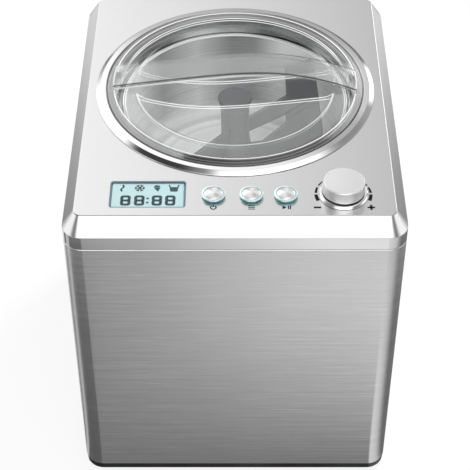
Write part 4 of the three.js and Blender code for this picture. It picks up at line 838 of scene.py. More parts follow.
def makeRear():
    low, high = boxOf("rear_panel")
    z, halfX, halfZ = (low[2] + high[2]) / 2, (high[0] - low[0]) / 2, (high[2] - low[2]) / 2
    back, front = high[1], low[1]
    plate = front + rear["plate"]
    sheet = softLine([(4, front, 0), (0, front, 0.3), (0, plate, 0.3), (4, plate, 0)], 3)
    raised = softLine([(4, front + 0.4, 0), (0, front + 0.4, 0.2), (0, back, 0.9), (4, back, 0)], 5)
    piece = makePiece("rearPanel", carry(sheet, halfX, halfZ, 5, 0, z, flip=[0, 2, 1]))
    middle = halfX - rear["margin"] - 1
    carve(piece, makePiece("rearRaised", carry(raised, middle, halfZ - 5, 5, 0, z, flip=[0, 2, 1])), "UNION")
    cuts = []
    for foot, count in ((low[2] + 60, 5), (high[2] - 56, 4)):
        for k in range(count):
            for side in (-rear["slotSide"], rear["slotSide"]):
                at = foot + rear["slotPitch"] * k + rear["slotHigh"] / 2
                cuts.append(roundSlot(rear["slotLong"], rear["slotHigh"], front - 5, back + 5, side, at, [0, 2, 1]))
    carve(piece, makePiece("rearSlots", *cuts))
    at = middleOf("cord_gland")
    for name, radius, foot in (("inletHole", 8.3, front - 5), ("inletSeat", 13.0, back - 1.6)):
        carve(piece, makePiece(name, lying(drum(radius, foot, back + 5), at[0], at[2], 72)))
    return piece


# A profile of (radius, depth) turned about a line along y.
def lying(profile, x, z, steps=64, closed=False):
    points, quads, caps = turn(profile, x, z, steps, closed)
    return skin(points[:, [0, 2, 1]].reshape(len(profile), steps, 3), closed, capped=False)


place(makeRear(), panelSteel, "cabinet", ["rear_panel"], "rear_steel")

# Pan-head screws: a low dome with a cross cut in it.
low, high = boxOf("rear_panel")
screwX = halfWidth - cabinet["corner"] - wrap["fold"] / 2
spots = [(x, z) for x in (-screwX, screwX) for z in (low[2] + 12, (low[2] + high[2]) / 2, high[2] - 12)]
u = np.linspace(0, math.pi / 2, 9)
dome = np.stack([rear["screw"] * np.sin(u), halfDepth + rear["screwRise"] * np.cos(u)], 1)
dome = np.vstack([dome, [(rear["screw"], halfDepth - 0.3), (0, halfDepth - 0.3)]])
rearScrews = makePiece("rearScrews", *[lying(dome, x, z, 40) for x, z in spots])
cut = [(0, halfDepth + 0.7), (0, halfDepth + 3)]
for halfX, halfZ in ((1.9, 0.4), (0.4, 1.9)):
    bars = [carry(cut, halfX, halfZ, 0.2, x, z, steps=3, flip=[0, 2, 1]) for x, z in spots]
    carve(rearScrews, makePiece("cross", *bars))
place(rearScrews, screwSteel, "cabinet")

low, high = boxOf("cord_gland")
at = (low + high) / 2
sleeve = softLoop([
    (4.2, high[1], 0.4), (12, high[1], 0.5), (12, high[1] - 1.1, 0.2), (8, high[1] - 1.1, 0.2), (7.4, low[1], 0.4),
    (4.2, low[1], 0.4)], 5)
gland = makePiece("cordGland", lying(sleeve, at[0], at[2], 72, True))
place(gland, glandRubber, "cabinet", ["cord_gland"], "gland_rubber")
print("rear made")

# Bezel ring, collar of the well

bezel = {"land": 5.0, "slope": 4.0, "crestRound": 0.7, "footRound": 0.25}


def makeBezel():
    radius = ringHigh[0] - axisX
    foot, crest = ringLow[2], ringHigh[2]
    top = radius - bezel["slope"]
    inner = top - bezel["land"] + 0.3
    return hoop("bezelRing", [
        (radius, foot, 0.1), (radius - 0.25, foot + 0.55, bezel["footRound"]), (top, crest, bezel["crestRound"]),
        (inner, crest, 0.4),
        (inner, foot + 1.3, 0.1), (radius - 5.8, foot + 1.3, 0.1), (radius - 5.8, foot, 0.1)], axisX, axisY, 320)


place(makeBezel(), chromeRing, "cabinet", ["bezel_ring"], "bright_ring")


def makeCollar():
    low, high = boxOf("well_collar")
    flange, top, foot = high[0] - axisX, high[2], low[2]
    wall = cover["openingRadius"] - 0.3
    mouth = bowlRadius + 1.2
    return hoop("wellCollar", [
        (flange, top - 1, 0.1), (flange, top, 0.2), (wall - 1.5, top, 0.5), (wall - 2, top - 1.2, 0.6),
        (mouth, foot, 0.6), (mouth + 2, foot, 0.3), (wall, deckZ - 5, 0.6), (wall, top - 1, 0.1)], axisX, axisY, 280, 5)


place(makeCollar(), collarPlastic, "cabinet", ["well_collar"], "collar_plastic")
print("ring and collar made")

# Lid: a dished shell and a hollow arched bar in one clear moulding

# The dish from the middle out: height rises with the square of the radius to the pocket's
# wall, then shelf, lip, edge and the wall that drops into the collar, closed at the foot.
def lidDish(inset, edge):
    deep = deckZ - lid["pocketDepth"] - inset
    rise = lid["pocketDepth"] + lid["pocketRim"]
    reach = pocketRadius - lid["pocketFillet"] + inset
    shelf = deckZ + lid["shelfRise"] - inset
    u = np.linspace(0, 1, 20)
    dish = np.stack([reach * u, deep + rise * u ** 2], 1)
    bend = softLine([
        (*dish[-2], 0), (reach + 0.6, deep + rise + 0.5, 2.5), (pocketRadius + 0.4 + inset * 0.5, shelf, 1.6),
        *edge], 6)
    return turn(np.vstack([dish[:-2], bend]), axisX, axisY, 200)


# The bar: at each x a section with upright sides that lean in and a round-edged top. Its
# middle line swings by a sine and its top falls with the square of x.
def lidBar(inset, floor, soft):
    reach = lipRadius + 4
    x = np.linspace(-reach, reach, 121)
    crown = lidHigh[2]
    top = crown - inset - (crown - deckZ - lid["barEndRise"]) * (x / lipRadius) ** 2
    middle = axisY + lid["barShift"] + lid["barSway"] * np.sin(math.pi * x / lipRadius) - lid["barSlant"] * x
    full = crown + 1 - floor
    lean = (lid["barFoot"] - lid["barTop"]) / 2 / full
    rows = []
    for at in range(len(x)):
        halfTop = lid["barFoot"] / 2 - inset - lean * (top[at] - floor)
        halfFoot = lid["barFoot"] / 2 - inset
        rows.append(softLoop([
            (-halfFoot, floor, 0.01), (-halfTop, top[at], soft), (halfTop, top[at], soft), (halfFoot, floor, 0.01)], 7))
    section = np.array(rows)
    grid = np.empty(section.shape[:2] + (3,))
    grid[..., 0] = x[:, None]
    grid[..., 1] = middle[:, None] + section[..., 0]
    grid[..., 2] = section[..., 1]
    return skin(grid)


def makeLid():
    floor = deckZ - 25
    edgeTop, lip = deckZ + lid["edgeRise"], deckZ + lid["lipRise"]
    under = edgeTop - lid["edgeWall"]
    plug, plugFoot = lid["plugRadius"], deckZ - lid["plugDrop"]
    wall = lid["wall"]
    outer = makePiece("lidOuter", lidDish(0, [
        (lipRadius - 2.6, deckZ + lid["shelfRise"], 0.8), (lipRadius - 1.4, lip, 0.6), (lipRadius, lip, 0.5),
        (lidRadius, edgeTop, 0.5), (lidRadius, under, 0.4), (plug, under, 0.3), (plug, floor, 0), (0, floor, 0)]))
    bar = makePiece("barOuter", lidBar(0, floor + 3.7, lid["barRound"]))
    hull = turn(drum(lipRadius - 0.3, floor - 5, lidHigh[2] + 5), axisX, axisY, 200)
    carve(bar, makePiece("barEnds", hull), "INTERSECT")
    carve(outer, bar, "UNION")
    inner = makePiece("lidInner", lidDish(wall, [
        (plug - wall, deckZ + lid["shelfRise"] - wall, 0.8), (plug - wall, floor - 1, 0), (0, floor - 1, 0)]))
    bar = makePiece("barInner", lidBar(wall, floor + 2.3, lid["barRound"] * 0.6))
    hull = turn(drum(plug - wall - 0.4, floor - 5, lidHigh[2] + 5), axisX, axisY, 200)
    carve(bar, makePiece("barInnerEnds", hull), "INTERSECT")
    carve(inner, bar, "UNION")
    carve(outer, inner)
    trim = softLoop(band(pocketRadius + 3, lidRadius + 5, floor - 4, plugFoot - 0.001, 0.1), 2)
    return carve(outer, makePiece("lidTrim", turn(trim, axisX, axisY, 200, True)))


clearLid = place(makeLid(), clearPlastic, "lid", ["lid"], "clear_lid", angle=28)
print("lid made", len(clearLid.data.polygons))

# Bowl and cooling barrel

bowl = {"rimWidth": 3.9, "rimWall": 1.8, "wall": 1.2, "depth": 84.0, "floor": 1.5, "fillet": 13.0, "draft": 1.0,
        "bore": 7.2, "boreWall": 1.6, "boreHigh": 38.0}


def makeBowl():
    rim, top = bowlRadius, boxOf("bowl")[1][2]
    radius = rim - bowl["rimWidth"]
    inner = radius - bowl["draft"]
    floor = top - bowl["depth"]
    under = floor - bowl["floor"]
    step, tube = inner - bowl["fillet"] - 4, bowl["bore"] + bowl["boreWall"]
    return hoop("bowl", [
        (bowl["bore"], under, 0.2), (inner + bowl["wall"], under, bowl["fillet"] + bowl["floor"]),
        (radius + bowl["wall"], top - bowl["rimWall"], 0.3), (rim, top - bowl["rimWall"], 0.3), (rim, top, 0.75),
        (radius, top, 0.7), (inner, floor, bowl["fillet"]), (step, floor, 1.0), (step - 1, floor + 0.8, 0.8),
        (tube + 3, floor + 0.8, 0.5), (tube + 0.9, floor + 1.9, 1.2), (tube, floor + bowl["boreHigh"], 0.5),
        (bowl["bore"], floor + bowl["boreHigh"], 0.4)], axisX, axisY, 256, 9)


place(makeBowl(), bowlSteel, "bowl", ["bowl"], "bowl_steel")


def makeBarrel():
    low, high = boxOf("cooling_barrel")
    flange, top, under = high[0] - axisX, high[2], low[2]
    inner = bowlRadius - bowl["rimWidth"] + bowl["wall"] + 1.2
    wall = 1.6
    bend = bowl["fillet"] + bowl["floor"]
    return hoop("coolingBarrel", [
        (10, under, 0.2), (inner + wall, under, bend + wall), (inner + wall, top - wall, 1.0),
        (flange, top - wall, 0.3),
        (flange, top, 0.3), (inner, top, 0.8), (inner, under + wall, bend), (10, under + wall, 0.2)], axisX, axisY,
        200, 8)


place(makeBarrel(), barrelSkin, "cabinet", ["cooling_barrel"], "barrel_aluminium")
print("bowl made")

# Paddle: hub, long scraper blade with a window, short blade

paddle = {"angle": 30.0, "wall": 3.6, "lean": 0.32, "height": 56.0, "scraper": 80.5, "scraperInner": 59.0, "gap": 4.1,
          "hub": 12.1, "hubTop": 15.0, "hubFoot": 17.4, "bladeRound": 0.7, "bore": 10.1, "boreHigh": 38.5}


# A flat outline of (reach, height) stood upright, sheared sideways with height, turned
# about the well's axis.
def bladeSolid(name, loop, degrees, thick, foot):
    grid = np.empty((2, len(loop), 3))
    grid[..., 0] = loop[:, 0]
    grid[..., 2] = loop[:, 1]
    lean = paddle["lean"] * (loop[:, 1] - foot - paddle["height"] / 2)
    grid[..., 1] = np.array([-thick / 2, thick / 2])[:, None] + lean
    angle = math.radians(degrees)
    x, y = grid[..., 0].copy(), grid[..., 1].copy()
    grid[..., 0] = axisX + x * math.cos(angle) - y * math.sin(angle)
    grid[..., 1] = axisY + x * math.sin(angle) + y * math.cos(angle)
    return makePiece(name, skin(grid))


def makePaddle():
    low, high = boxOf("paddle")
    foot, top = low[2], high[2]
    reach = bowlRadius - bowl["rimWidth"] - paddle["gap"]
    arm, scraper, inner, hub = foot + paddle["height"], foot + paddle["scraper"], paddle["scraperInner"], paddle["hub"]
    start = hub - 1.2
    longLoop = softLoop([
        (start, foot, 0.1), (reach - 13, foot, 6), (reach - 3, foot + 5, 5), (reach, foot + 15, 4),
        (reach, scraper, 3.5),
        (inner + 3, scraper, 2.5), (inner, arm, 1.2), (start, arm - 8, 0.1)], 6)
    window = softLoop([
        (hub + 3.2, foot + 26, 2), (hub + 16, foot + 23.5, 2), (inner - 4, foot + 32, 4),
        (inner - 3, foot + 41, 3.5), (hub + 3.2, foot + 38, 2)], 6)
    longBlade = bladeSolid("longBlade", longLoop, paddle["angle"], paddle["wall"], foot)
    carve(longBlade, bladeSolid("bladeWindow", window, paddle["angle"], paddle["wall"] + 6, foot))
    shortBlade = bladeSolid("shortBlade", softLoop([
        (start, foot, 0.1), (reach - 17, foot, 4), (reach - 6, foot + 6, 3), (reach - 6, foot + 12, 3),
        (hub + 6, arm - 2, 5), (start, arm, 0.1)], 6), paddle["angle"] + 180, paddle["wall"], foot)
    for blade in (longBlade, shortBlade):
        edge = blade.modifiers.new("soft edges", "BEVEL")
        edge.width, edge.segments = paddle["bladeRound"] * mm, 3
        edge.limit_method, edge.angle_limit = "ANGLE", math.radians(50)
        bpy.context.view_layer.update()
        settle(blade)
    bore, boreTop = paddle["bore"], foot + paddle["boreHigh"]
    hubPiece = hoop("paddleHub", [
        (bore, foot, 0.3), (paddle["hubFoot"], foot, 0.6), (paddle["hubFoot"], foot + 3, 1.2), (hub, foot + 16, 6),
        (hub + 0.3, top - 11, 8), (paddle["hubTop"], top, 1.0), (0.6, top, 0.2), (0.6, top - 2, 0.1),
        (5.5, boreTop + 9, 0.3), (5.5, boreTop, 0.3), (bore, boreTop, 0.5)], axisX, axisY, 128, 7)
    plug = softLine([(0, top - 1.5, 0), (1.2, top - 1.5, 0.1), (1.2, top - 0.02, 0.1), (0, top - 0.02, 0)], 3)
    return longBlade, shortBlade, hubPiece, makePiece("paddlePlug", turn(plug, axisX, axisY, 48))


# Several objects as one.
def joinPieces(name, *pieces):
    shape = bmesh.new()
    for piece in pieces:
        shape.from_mesh(piece.data)
    mesh = bpy.data.meshes.new(name)
    shape.to_mesh(mesh)
    shape.free()
    for piece in pieces:
        bpy.data.objects.remove(piece)
    return shownObject(name, mesh)


place(joinPieces("paddle", *makePaddle()), paddlePlastic, "paddle", ["paddle"], "paddle_plastic")
print("paddle made")

# Display: pane, lit glass, digits and signs

lcdFinish = {
    "pale": (0.385, 0.505, 0.520), "deep": (0.365, 0.510, 0.525), "lit": 0.30,
    "ink": (0.006, 0.045, 0.056), "outline": (0.14, 0.25, 0.34),
}


# Lit glass, paler towards its left end and its lower edge, where the lamps behind it sit.
def litGlass(shader):
    x, y, z = shader.axes(shader.laid(shift=(-paneAt[0] * mm, -paneAt[1] * mm, 0)))
    fine = shader.noise(1500, 2.0)
    slow = shader.noise(30, 2.0)
    far = shader.ranged(x * 0.6 + y, -0.022, 0.022) + (slow - 0.5) * 0.2
    tone = shader.mixed(far, lcdFinish["pale"], lcdFinish["deep"])
    return {
        "Base Color": tone, "Roughness": shader.ranged(fine, 0.3, 0.7, 0.3, 0.4), "Emission Color": tone,
        "Emission Strength": lcdFinish["lit"], "Normal": shader.bump(fine, 0.004 * mm, 0.3)}


# Printing ink, a little uneven in its colour and its sheen.
def inked(shader, colour, rough=0.4, depth=0.01):
    fine = shader.noise(2600, 3.0)
    darker, lighter = tuple(k * 0.85 for k in colour), tuple(k * 1.2 + 0.002 for k in colour)
    return {
        "Base Color": shader.mixed(shader.ranged(fine, 0.3, 0.7), darker, lighter),
        "Roughness": shader.ranged(fine, 0.3, 0.7, rough - 0.05, rough + 0.08),
        "Specular IOR Level": 0.15, "Normal": shader.bump(fine, depth * mm, 0.3)}


paneLow, paneHigh = boxOf("display_window")
paneAt = (paneLow + paneHigh) / 2
paneHalf = (paneHigh - paneLow) / 2 - display["flange"]
lcdTop = boxOf("lcd_module")[1][2]
lensUnder = lcdTop + 0.3
lcdGlass = finish("lit display glass", litGlass)
lcdInk = finish("display ink", inked, colour=lcdFinish["ink"], rough=0.6)
rimInk = finish("display outline ink", inked, colour=lcdFinish["outline"])
paneClear = finish("window pane", clear, tint=(0.99, 1.0, 1.0), rough=0.02, base=0.02, wave=1.0)


def makePane():
    rim, corner, top, foot = display["rim"], display["corner"], paneHigh[2], paneLow[2]
    flange, ledge = -display["flange"], deckZ - 2.3
    profile = softLine([
        (corner - 0.1, lensUnder, 0), (rim, lensUnder, 0.2), (rim, foot, 0.1), (flange, foot, 0.2),
        (flange, ledge, 0.2),
        (0, ledge, 0.1), (0, top, 0.25), (corner - 0.1, top, 0)], 3)
    return makePiece("displayWindow", carry(profile, paneHalf[0], paneHalf[1], corner, paneAt[0], paneAt[1], steps=10))


place(makePane(), paneClear, "cabinet", ["display_window"], "window_pane")

# The display module: a framed tray on its board, and the lit glass that stands up from it.
module = {"inset": 1.35, "tray": 3.6, "corner": 1.2}
moduleLow, moduleHigh = boxOf("lcd_module")
moduleHalf = (moduleHigh - moduleLow) / 2
tray = makePiece("displayTray", carry(softLine([
    (module["corner"] - 0.1, moduleLow[2], 0), (0, moduleLow[2], 0.2), (0, lcdTop - module["tray"], 0.4),
    (module["corner"] - 0.1, lcdTop - module["tray"], 0)], 4),
    moduleHalf[0], moduleHalf[1], module["corner"], paneAt[0], paneAt[1]))
trayFinish = finish("display tray", moulded, colour=(0.55, 0.57, 0.57), rough=0.5)
place(tray, trayFinish, "cabinet", ["lcd_module"], "lcd_panel")
glassFoot = lcdTop - module["tray"] - 0.4
lcdPlate = makePiece("displayGlass", carry(softLine([
    (2.4, glassFoot, 0), (module["inset"], glassFoot, 0.1), (module["inset"], lcdTop, 0.15), (2.4, lcdTop, 0)], 3),
    paneHalf[0], paneHalf[1], display["corner"], paneAt[0], paneAt[1]))
place(lcdPlate, lcdGlass, "cabinet", slot="lcd_panel")
lineLow, lineHigh = deckZ - 0.05, deckZ + 0.03
outline = makePiece("displayOutline", carry(softLoop([
    (0.15, lineLow, 0.02), (0.15, lineHigh, 0.02), (display["line"], lineHigh, 0.02),
    (display["line"], lineLow, 0.02)], 1),
    paneHalf[0], paneHalf[1], display["corner"], paneAt[0], paneAt[1], closed=True))
place(outline, rimInk, "cabinet")

digits = {
    "wide": 8.2, "high": 12.0, "bar": 2.4, "end": 1.5, "gap": -0.35, "thick": 0.06, "row": -6.0,
    "columns": (-17.3, -6.4, 7.4, 17.9), "colonDot": 0.95, "colonHalf": 2.4, "signRow": 8.8,
}


# Seven bars of a figure eight, each a short six-sided bar.
def figureEight(x, y):
    wide, high, bar = digits["wide"] - digits["bar"], digits["high"] - digits["bar"], digits["bar"]
    half = high / 2
    ends = [((-wide / 2, level), (wide / 2, level)) for level in (half, 0, -half)]
    ends += [((side * wide / 2, level), (side * wide / 2, level + half)) for side in (-1, 1) for level in (-half, 0)]
    made = []
    for first, last in ends:
        first, last = np.array(first), np.array(last)
        along = (last - first) / np.linalg.norm(last - first)
        first, last = first + along * digits["gap"], last - along * digits["gap"]
        points = np.array([first, first + along * bar / 2, last - along * bar / 2, last]) + (x, y)
        widths = [digits["end"], bar, bar, digits["end"]]
        made.append(stroke(points, widths, lcdTop, lcdTop + digits["thick"]))
    return made


def makeSigns():
    low, high = lcdTop, lcdTop + digits["thick"]
    cx, cy = paneAt[:2]
    marks = []
    for x in digits["columns"]:
        marks += figureEight(cx + x, cy + digits["row"])
    dot = digits["colonDot"]
    for y in (-digits["colonHalf"], digits["colonHalf"]):
        marks.append(carry([(0, low), (0, high)], dot, dot, 0.3, cx, cy + digits["row"] + y, steps=3))
    y = cy + digits["signRow"]
    u = np.linspace(-1, 1, 25)
    drift = np.stack([cx - 20.4 + np.sin(u * math.pi), y + 3.9 * u], 1)  # a drift of cold air
    marks.append(stroke(drift, 1.5, low, high))
    centre = np.array([cx - 6.7, y])
    for k in range(3):  # a snow crystal: three crossed bars with small branches
        way = np.array([math.cos(math.radians(60 * k)), math.sin(math.radians(60 * k))])
        side = np.array([-way[1], way[0]])
        marks.append(stroke([centre - way * 4.0, centre + way * 4.0], 1.0, low, high))
        for end in (-1, 1):
            root = centre + way * 2.3 * end
            for lean in (-1, 1):
                marks.append(stroke([root, root + way * 1.3 * end + side * 1.3 * lean], 0.85, low, high))
    x = cx + 7.0  # a cone with its ball
    cone = softLoop([(x - 2.7, y + 0.5, 0.3), (x + 2.7, y + 0.5, 0.3), (x + 0.9, y - 4.4, 0.3)], 3)
    marks += [slab(cone, low, high), stroke(arcLine(x, y + 0.9, 1.35, 0, 180, 14), 2.4, low, high)]
    x = cx + 20.4  # a tub with two wafers
    tub = [(x - 3.6, y + 1.2, 0.4), (x + 3.6, y + 1.2, 0.4), (x + 2.8, y - 4.2, 0.8), (x - 2.8, y - 4.2, 0.8)]
    marks.append(slab(softLoop(tub, 4), low, high))
    for way in (-1, 1):
        marks.append(stroke([(x + way * 3.0, y + 1.0), (x + way * 3.9, y + 3.9)], 1.1, low, high))
    return makePiece("displaySigns", *marks)


place(makeSigns(), lcdInk, "cabinet", weighted=False)
print("display made")

# Buttons, their rings and printed signs

button = {"crown": 2.2, "dome": 1.1, "edgeDrop": 0.5, "gasket": 0.5, "ringRise": 2.1, "undercut": 1.2, "skirt": 5.5,
          "stem": 2.0}


# Turned metal face: fine rings, and painted light and dark sectors with a painted pink and pale tint, standing in for
# the sheen where the lathe's lines catch the light.
def turnedFace(shader, centre, tone=0.84, fans=0.26):
    x, y, z, radius = shader.about(centre)
    angle = shader.maths("ARCTAN2", y, x)
    fan = shader.maths("COSINE", angle * 4 + 0.6) * 0.55 + shader.maths("COSINE", angle * 2 - 1.2) * 0.45
    outward = shader.ranged(radius, 0.0, 0.004)
    sockets = {"W": radius * 5200, "Scale": 1.0, "Detail": 2.0}
    rings = shader.node("ShaderNodeTexNoise", {"noise_dimensions": "1D"}, sockets)
    level = fan * outward * fans + (rings - 0.5) * 0.12 + tone
    paintedTint = shader.mixed(shader.ranged(fan, -1, 1), (1.0, 0.955, 0.955), (0.98, 1.0, 1.0))
    return {
        "Base Color": shader.mixed(1.0, level, paintedTint, "MULTIPLY"), "Metallic": 0.7,
        "Roughness": shader.ranged(rings, 0.3, 0.7, 0.3, 0.4), "Normal": shader.bump(rings, 0.004 * mm, 0.6)}


# Frosted ring: a pale blue with painted shade that deepens it low on its front side, with a little cloud in it.
def ringGlow(shader, colour=(0.66, 0.83, 0.85), deep=(0.16, 0.35, 0.38)):
    z = shader.axes()[2] / mm
    fine = shader.noise(1300, 2.0)
    slow = shader.noise(260, 2.0)
    # Painted shade: the ring is darkened low on the side that faces the front.
    front = shader.ranged(shader.facing()[1] + (slow - 0.5) * 0.2, -0.25, -0.8)
    tone = shader.mixed(front * shader.ranged(z, deckZ + 2.9, deckZ + 1.6), colour, deep)
    return {
        "Base Color": tone, "Metallic": 0.55, "Roughness": shader.ranged(fine, 0.3, 0.7, 0.14, 0.22),
        "Emission Color": tone, "Emission Strength": 0.08, "Coat Weight": 0.6,
        "Normal": shader.bump(fine, 0.002 * mm, 0.3)}


ringFinish = finish("pale blue ring", ringGlow)
paintedShadowFinish = finish("button painted shadow", rubbery, colour=(0.10, 0.19, 0.21), rough=0.5)
for key in ("power", "menu", "start"):
    low, high = boxOf(key + "_button")
    at = (low + high) / 2
    radius, top, foot = (high[0] - low[0]) / 2, high[2] + button["crown"], low[2]
    shoulder, stem = deckZ - button["skirt"], button["stem"]
    u = np.linspace(0, 1, 10)
    face = np.stack([(radius - 0.9) * u, top - button["dome"] * u ** 2], 1)
    profile = np.vstack([face[:-1], softLine([
        (*face[-1], 0), (radius, top - button["dome"] - button["edgeDrop"], 0.5), (radius, shoulder, 0.2),
        (stem, shoulder, 0.3), (stem, foot, 0.1), (0, foot, 0)], 5)])
    cap = makePiece(key + "Button", turn(profile, at[0], at[1], 96))
    place(cap, finish(key + " turned face", turnedFace, centre=at[:2]), key + "_key", [key + "_button"], "key_silver")
    low, high = boxOf(key + "_ring")
    outer, top, foot = (high[0] - low[0]) / 2, high[2] + button["ringRise"], low[2]
    inner, waist = radius + 0.3, deckZ + button["undercut"]
    ring = hoop(key + "Ring", [
        (inner, foot, 0.05), (inner + 0.35, foot, 0.05), (inner + 0.35, deckZ + 0.3, 0.05),
        (outer - 1.0, deckZ + 0.3, 0.1),
        (outer - 0.8, waist, 0.3), (outer, waist + 0.5, 0.3), (outer, top - 0.3, 0.4), (inner, top, 0.12)],
        at[0], at[1], 96, 5)
    place(ring, ringFinish, "cabinet", [key + "_ring"], "key_ring")
    # A thin dark teal ring on the deck round each button's ring: painted shadow in the gap at the ring's foot.
    rim = outer - button["gasket"]
    gasket = hoop(key + "Gasket", [
        (outer - 0.9, deckZ - 0.02, 0.01), (rim, deckZ - 0.02, 0.01), (rim, deckZ + 0.08, 0.04),
        (outer - 0.9, deckZ + 0.12, 0.04)], at[0], at[1], 96, 2)
    place(gasket, paintedShadowFinish, "cabinet")

printFinish = finish("black print", inked, colour=(0.008, 0.008, 0.009), rough=0.65, depth=0.004)
signs = {
    "row": -140.6, "thick": 0.06, "size": 2.6, "line": 1.0, "menuPitch": 1.9, "menuLine": 0.85,
    "lessFrom": 23.9, "lessTo": 18.2, "moreAt": 20.9, "moreHalf": 2.9, "arcRadius": 21.6,
}


# Printed signs on the deck in place of words: on/off, three bars, play and pause, less and
# more, and a tapering arc on either side of the knob.
def makePrint():
    low, high = deckZ - 0.02, deckZ + signs["thick"]
    y, size, line = signs["row"], signs["size"], signs["line"]
    marks = []
    x = middleOf("power_button")[0]
    marks.append(stroke(arcLine(x, y, size * 0.82, -235, 55, 30), line, low, high))
    marks.append(stroke([(x, y + 0.2), (x, y + size * 1.15)], line, low, high))
    x = middleOf("menu_button")[0]
    for k in (-1, 0, 1):
        level = y + k * signs["menuPitch"]
        marks.append(stroke([(x - size, level), (x + size, level)], signs["menuLine"], low, high))
    x = middleOf("start_button")[0]
    play = softLoop([(x - 3.0, y - 2.0, 0.15), (x + 0.4, y, 0.15), (x - 3.0, y + 2.0, 0.15)], 3)
    marks.append(slab(play, low, high))
    for k in (1.7, 3.2):
        marks.append(stroke([(x + k, y - 2.0), (x + k, y + 2.0)], line, low, high))
    knob = middleOf("knob")
    marks.append(stroke([(knob[0] - signs["lessFrom"], y), (knob[0] - signs["lessTo"], y)], 1.9, low, high))
    for a, b in ((signs["moreHalf"], 0), (0, signs["moreHalf"])):
        middle = knob[0] + signs["moreAt"]
        marks.append(stroke([(middle - a, y - b), (middle + a, y + b)], 1.75, low, high))
    for side in (-1, 1):
        for start, end, thin, thick in ((27, 43, 0.9, 1.2), (3, 21, 1.6, 2.1), (-22, -2, 2.6, 3.0)):
            arc = arcLine(0, 0, signs["arcRadius"], start, end, 12) * (side, 1) + knob[:2]
            marks.append(stroke(arc, np.linspace(thick, thin, 13), low, high))
    return makePiece("deckPrint", *marks)


place(makePrint(), printFinish, "cabinet", weighted=False)
print("buttons made")

# Knob on its bright collar

knobSizes = {"topRound": 1.2, "bottomRound": 0.5, "crown": 0.3, "neck": 1.2, "bore": 4.0}
low, high = boxOf("knob")
knobAt = (low + high) / 2
radius, foot, top = (high[0] - low[0]) / 2, low[2], high[2] - knobSizes["crown"]
u = np.linspace(0, 1, 8)
face = np.stack([(radius - 2.5) * u, high[2] - knobSizes["crown"] * u ** 2], 1)
profile = np.vstack([face[:-1], softLine([
    (*face[-1], 0), (radius - 0.2, top, knobSizes["topRound"]), (radius, foot + 0.8, knobSizes["bottomRound"]),
    (radius - knobSizes["neck"] - 0.2, foot + 0.8, 0.1), (radius - knobSizes["neck"] - 0.2, foot, 0.2),
    (knobSizes["bore"], foot, 0.2), (knobSizes["bore"], top - 3, 0.3), (0, top - 3, 0)], 6)])
knobFinish = finish("satin knob", satin, tone=0.84, rough=0.38, grain=2200, metal=0.8)
place(makePiece("knob", turn(profile, knobAt[0], knobAt[1], 128)), knobFinish, "control_knob", ["knob"], "silver_deck")

neck = radius - knobSizes["neck"] + 0.1
# A black ring under the knob's foot: painted shade for the dark gap between the knob and its collar.
gapShadeRing = hoop("knobGapShade", band(
    neck, radius + 0.1, foot - 0.25, foot + 0.3, (0.05, 0.1, 0.1, 0.05)), knobAt[0], knobAt[1], 128, 3)
place(gapShadeRing, footRubber, "cabinet")

low, high = boxOf("knob_collar")
outer, foot, top = (high[0] - low[0]) / 2, low[2], high[2]
collarBright = finish("bright knob collar", polished, tone=0.88, rough=0.12, centre=knobAt[:2])
knobCollar = hoop("knobCollar", [
    (5.5, foot, 0.1), (outer, foot, 0.1), (outer, foot + 0.5, 0.3), (outer - 1.2, top, 0.7), (5.5, top, 0.2)],
    knobAt[0], knobAt[1], 128)
place(knobCollar, collarBright, "cabinet", ["knob_collar"], "bright_ring")
print("knob made")

# Finishes of the CAD nodes that keep their shape

inside = {
    "evaporator_coil": finish("coil copper", drawnCopper),
    "insulation_jacket": finish("blown foam", foamed),
    "shaft_bearing": finish("bearing plastic", moulded, colour=(0.03, 0.03, 0.032), rough=0.4),
    "drive_shaft": finish("ground shaft steel", worked, tone=0.6, rough=0.25, skin=1800, depth=0.006, stain=0.1),
    "output_gear": finish("gear plastic", moulded, colour=(0.72, 0.70, 0.62), rough=0.42, cloud=0.05),
    "gearbox_case": finish("cast aluminium", worked, tone=0.5, rough=0.5, skin=700, depth=0.06),
    "drive_motor": finish("motor can steel", worked, tone=0.45, rough=0.38, skin=900, depth=0.02, tint=(1, 0.98, 0.94)),
    "support_frame": finish("galvanised frame", worked, tone=0.56, rough=0.42, skin=120, depth=0.02, stain=0.3),
    "compressor": finish("black enamel", moulded, colour=(0.014, 0.014, 0.015), rough=0.3, grain=420, depth=0.05,
                         cloud=0.2),
    "condenser": finish("fin aluminium", worked, tone=0.6, rough=0.4, skin=1300, depth=0.01, stain=0.2),
    "fan_frame": finish("fan plastic", moulded, colour=(0.02, 0.02, 0.022), rough=0.45),
    "power_board": finish("circuit board", boarded),
    "encoder": finish("switch plastic", moulded, colour=(0.025, 0.025, 0.028), rough=0.4),
    "compressor_relay": finish("relay plastic", moulded, colour=(0.05, 0.05, 0.055), rough=0.45),
    "compressor_grommet_front_left": finish("grommet rubber", rubbery, colour=(0.016, 0.016, 0.017)),
}
sameAs = {
    "discharge_pipe": "evaporator_coil", "liquid_pipe": "evaporator_coil", "capillary_tube": "evaporator_coil",
    "suction_pipe": "evaporator_coil", "filter_drier": "evaporator_coil", "idler_gear": "output_gear",
    "motor_pinion": "drive_shaft", "idler_pin": "drive_shaft", "encoder_shaft": "drive_shaft",
    "gearbox_cover": "gearbox_case",
    "fan_rotor": "fan_frame", "control_board": "power_board", "power_switch": "encoder", "menu_switch": "encoder",
    "start_switch": "encoder", **{"compressor_grommet_" + k: "compressor_grommet_front_left" for k in corners[1:]},
}
for node, twin in sameAs.items():
    inside[node] = inside[twin]
for node, made in inside.items():
    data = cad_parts[node].data
    data.materials.clear()
    data.materials.append(made)
left = [n for n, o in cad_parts.items() if not o.hide_render and n not in inside]
print("finishes on", len(inside), "CAD nodes; without one:", left)
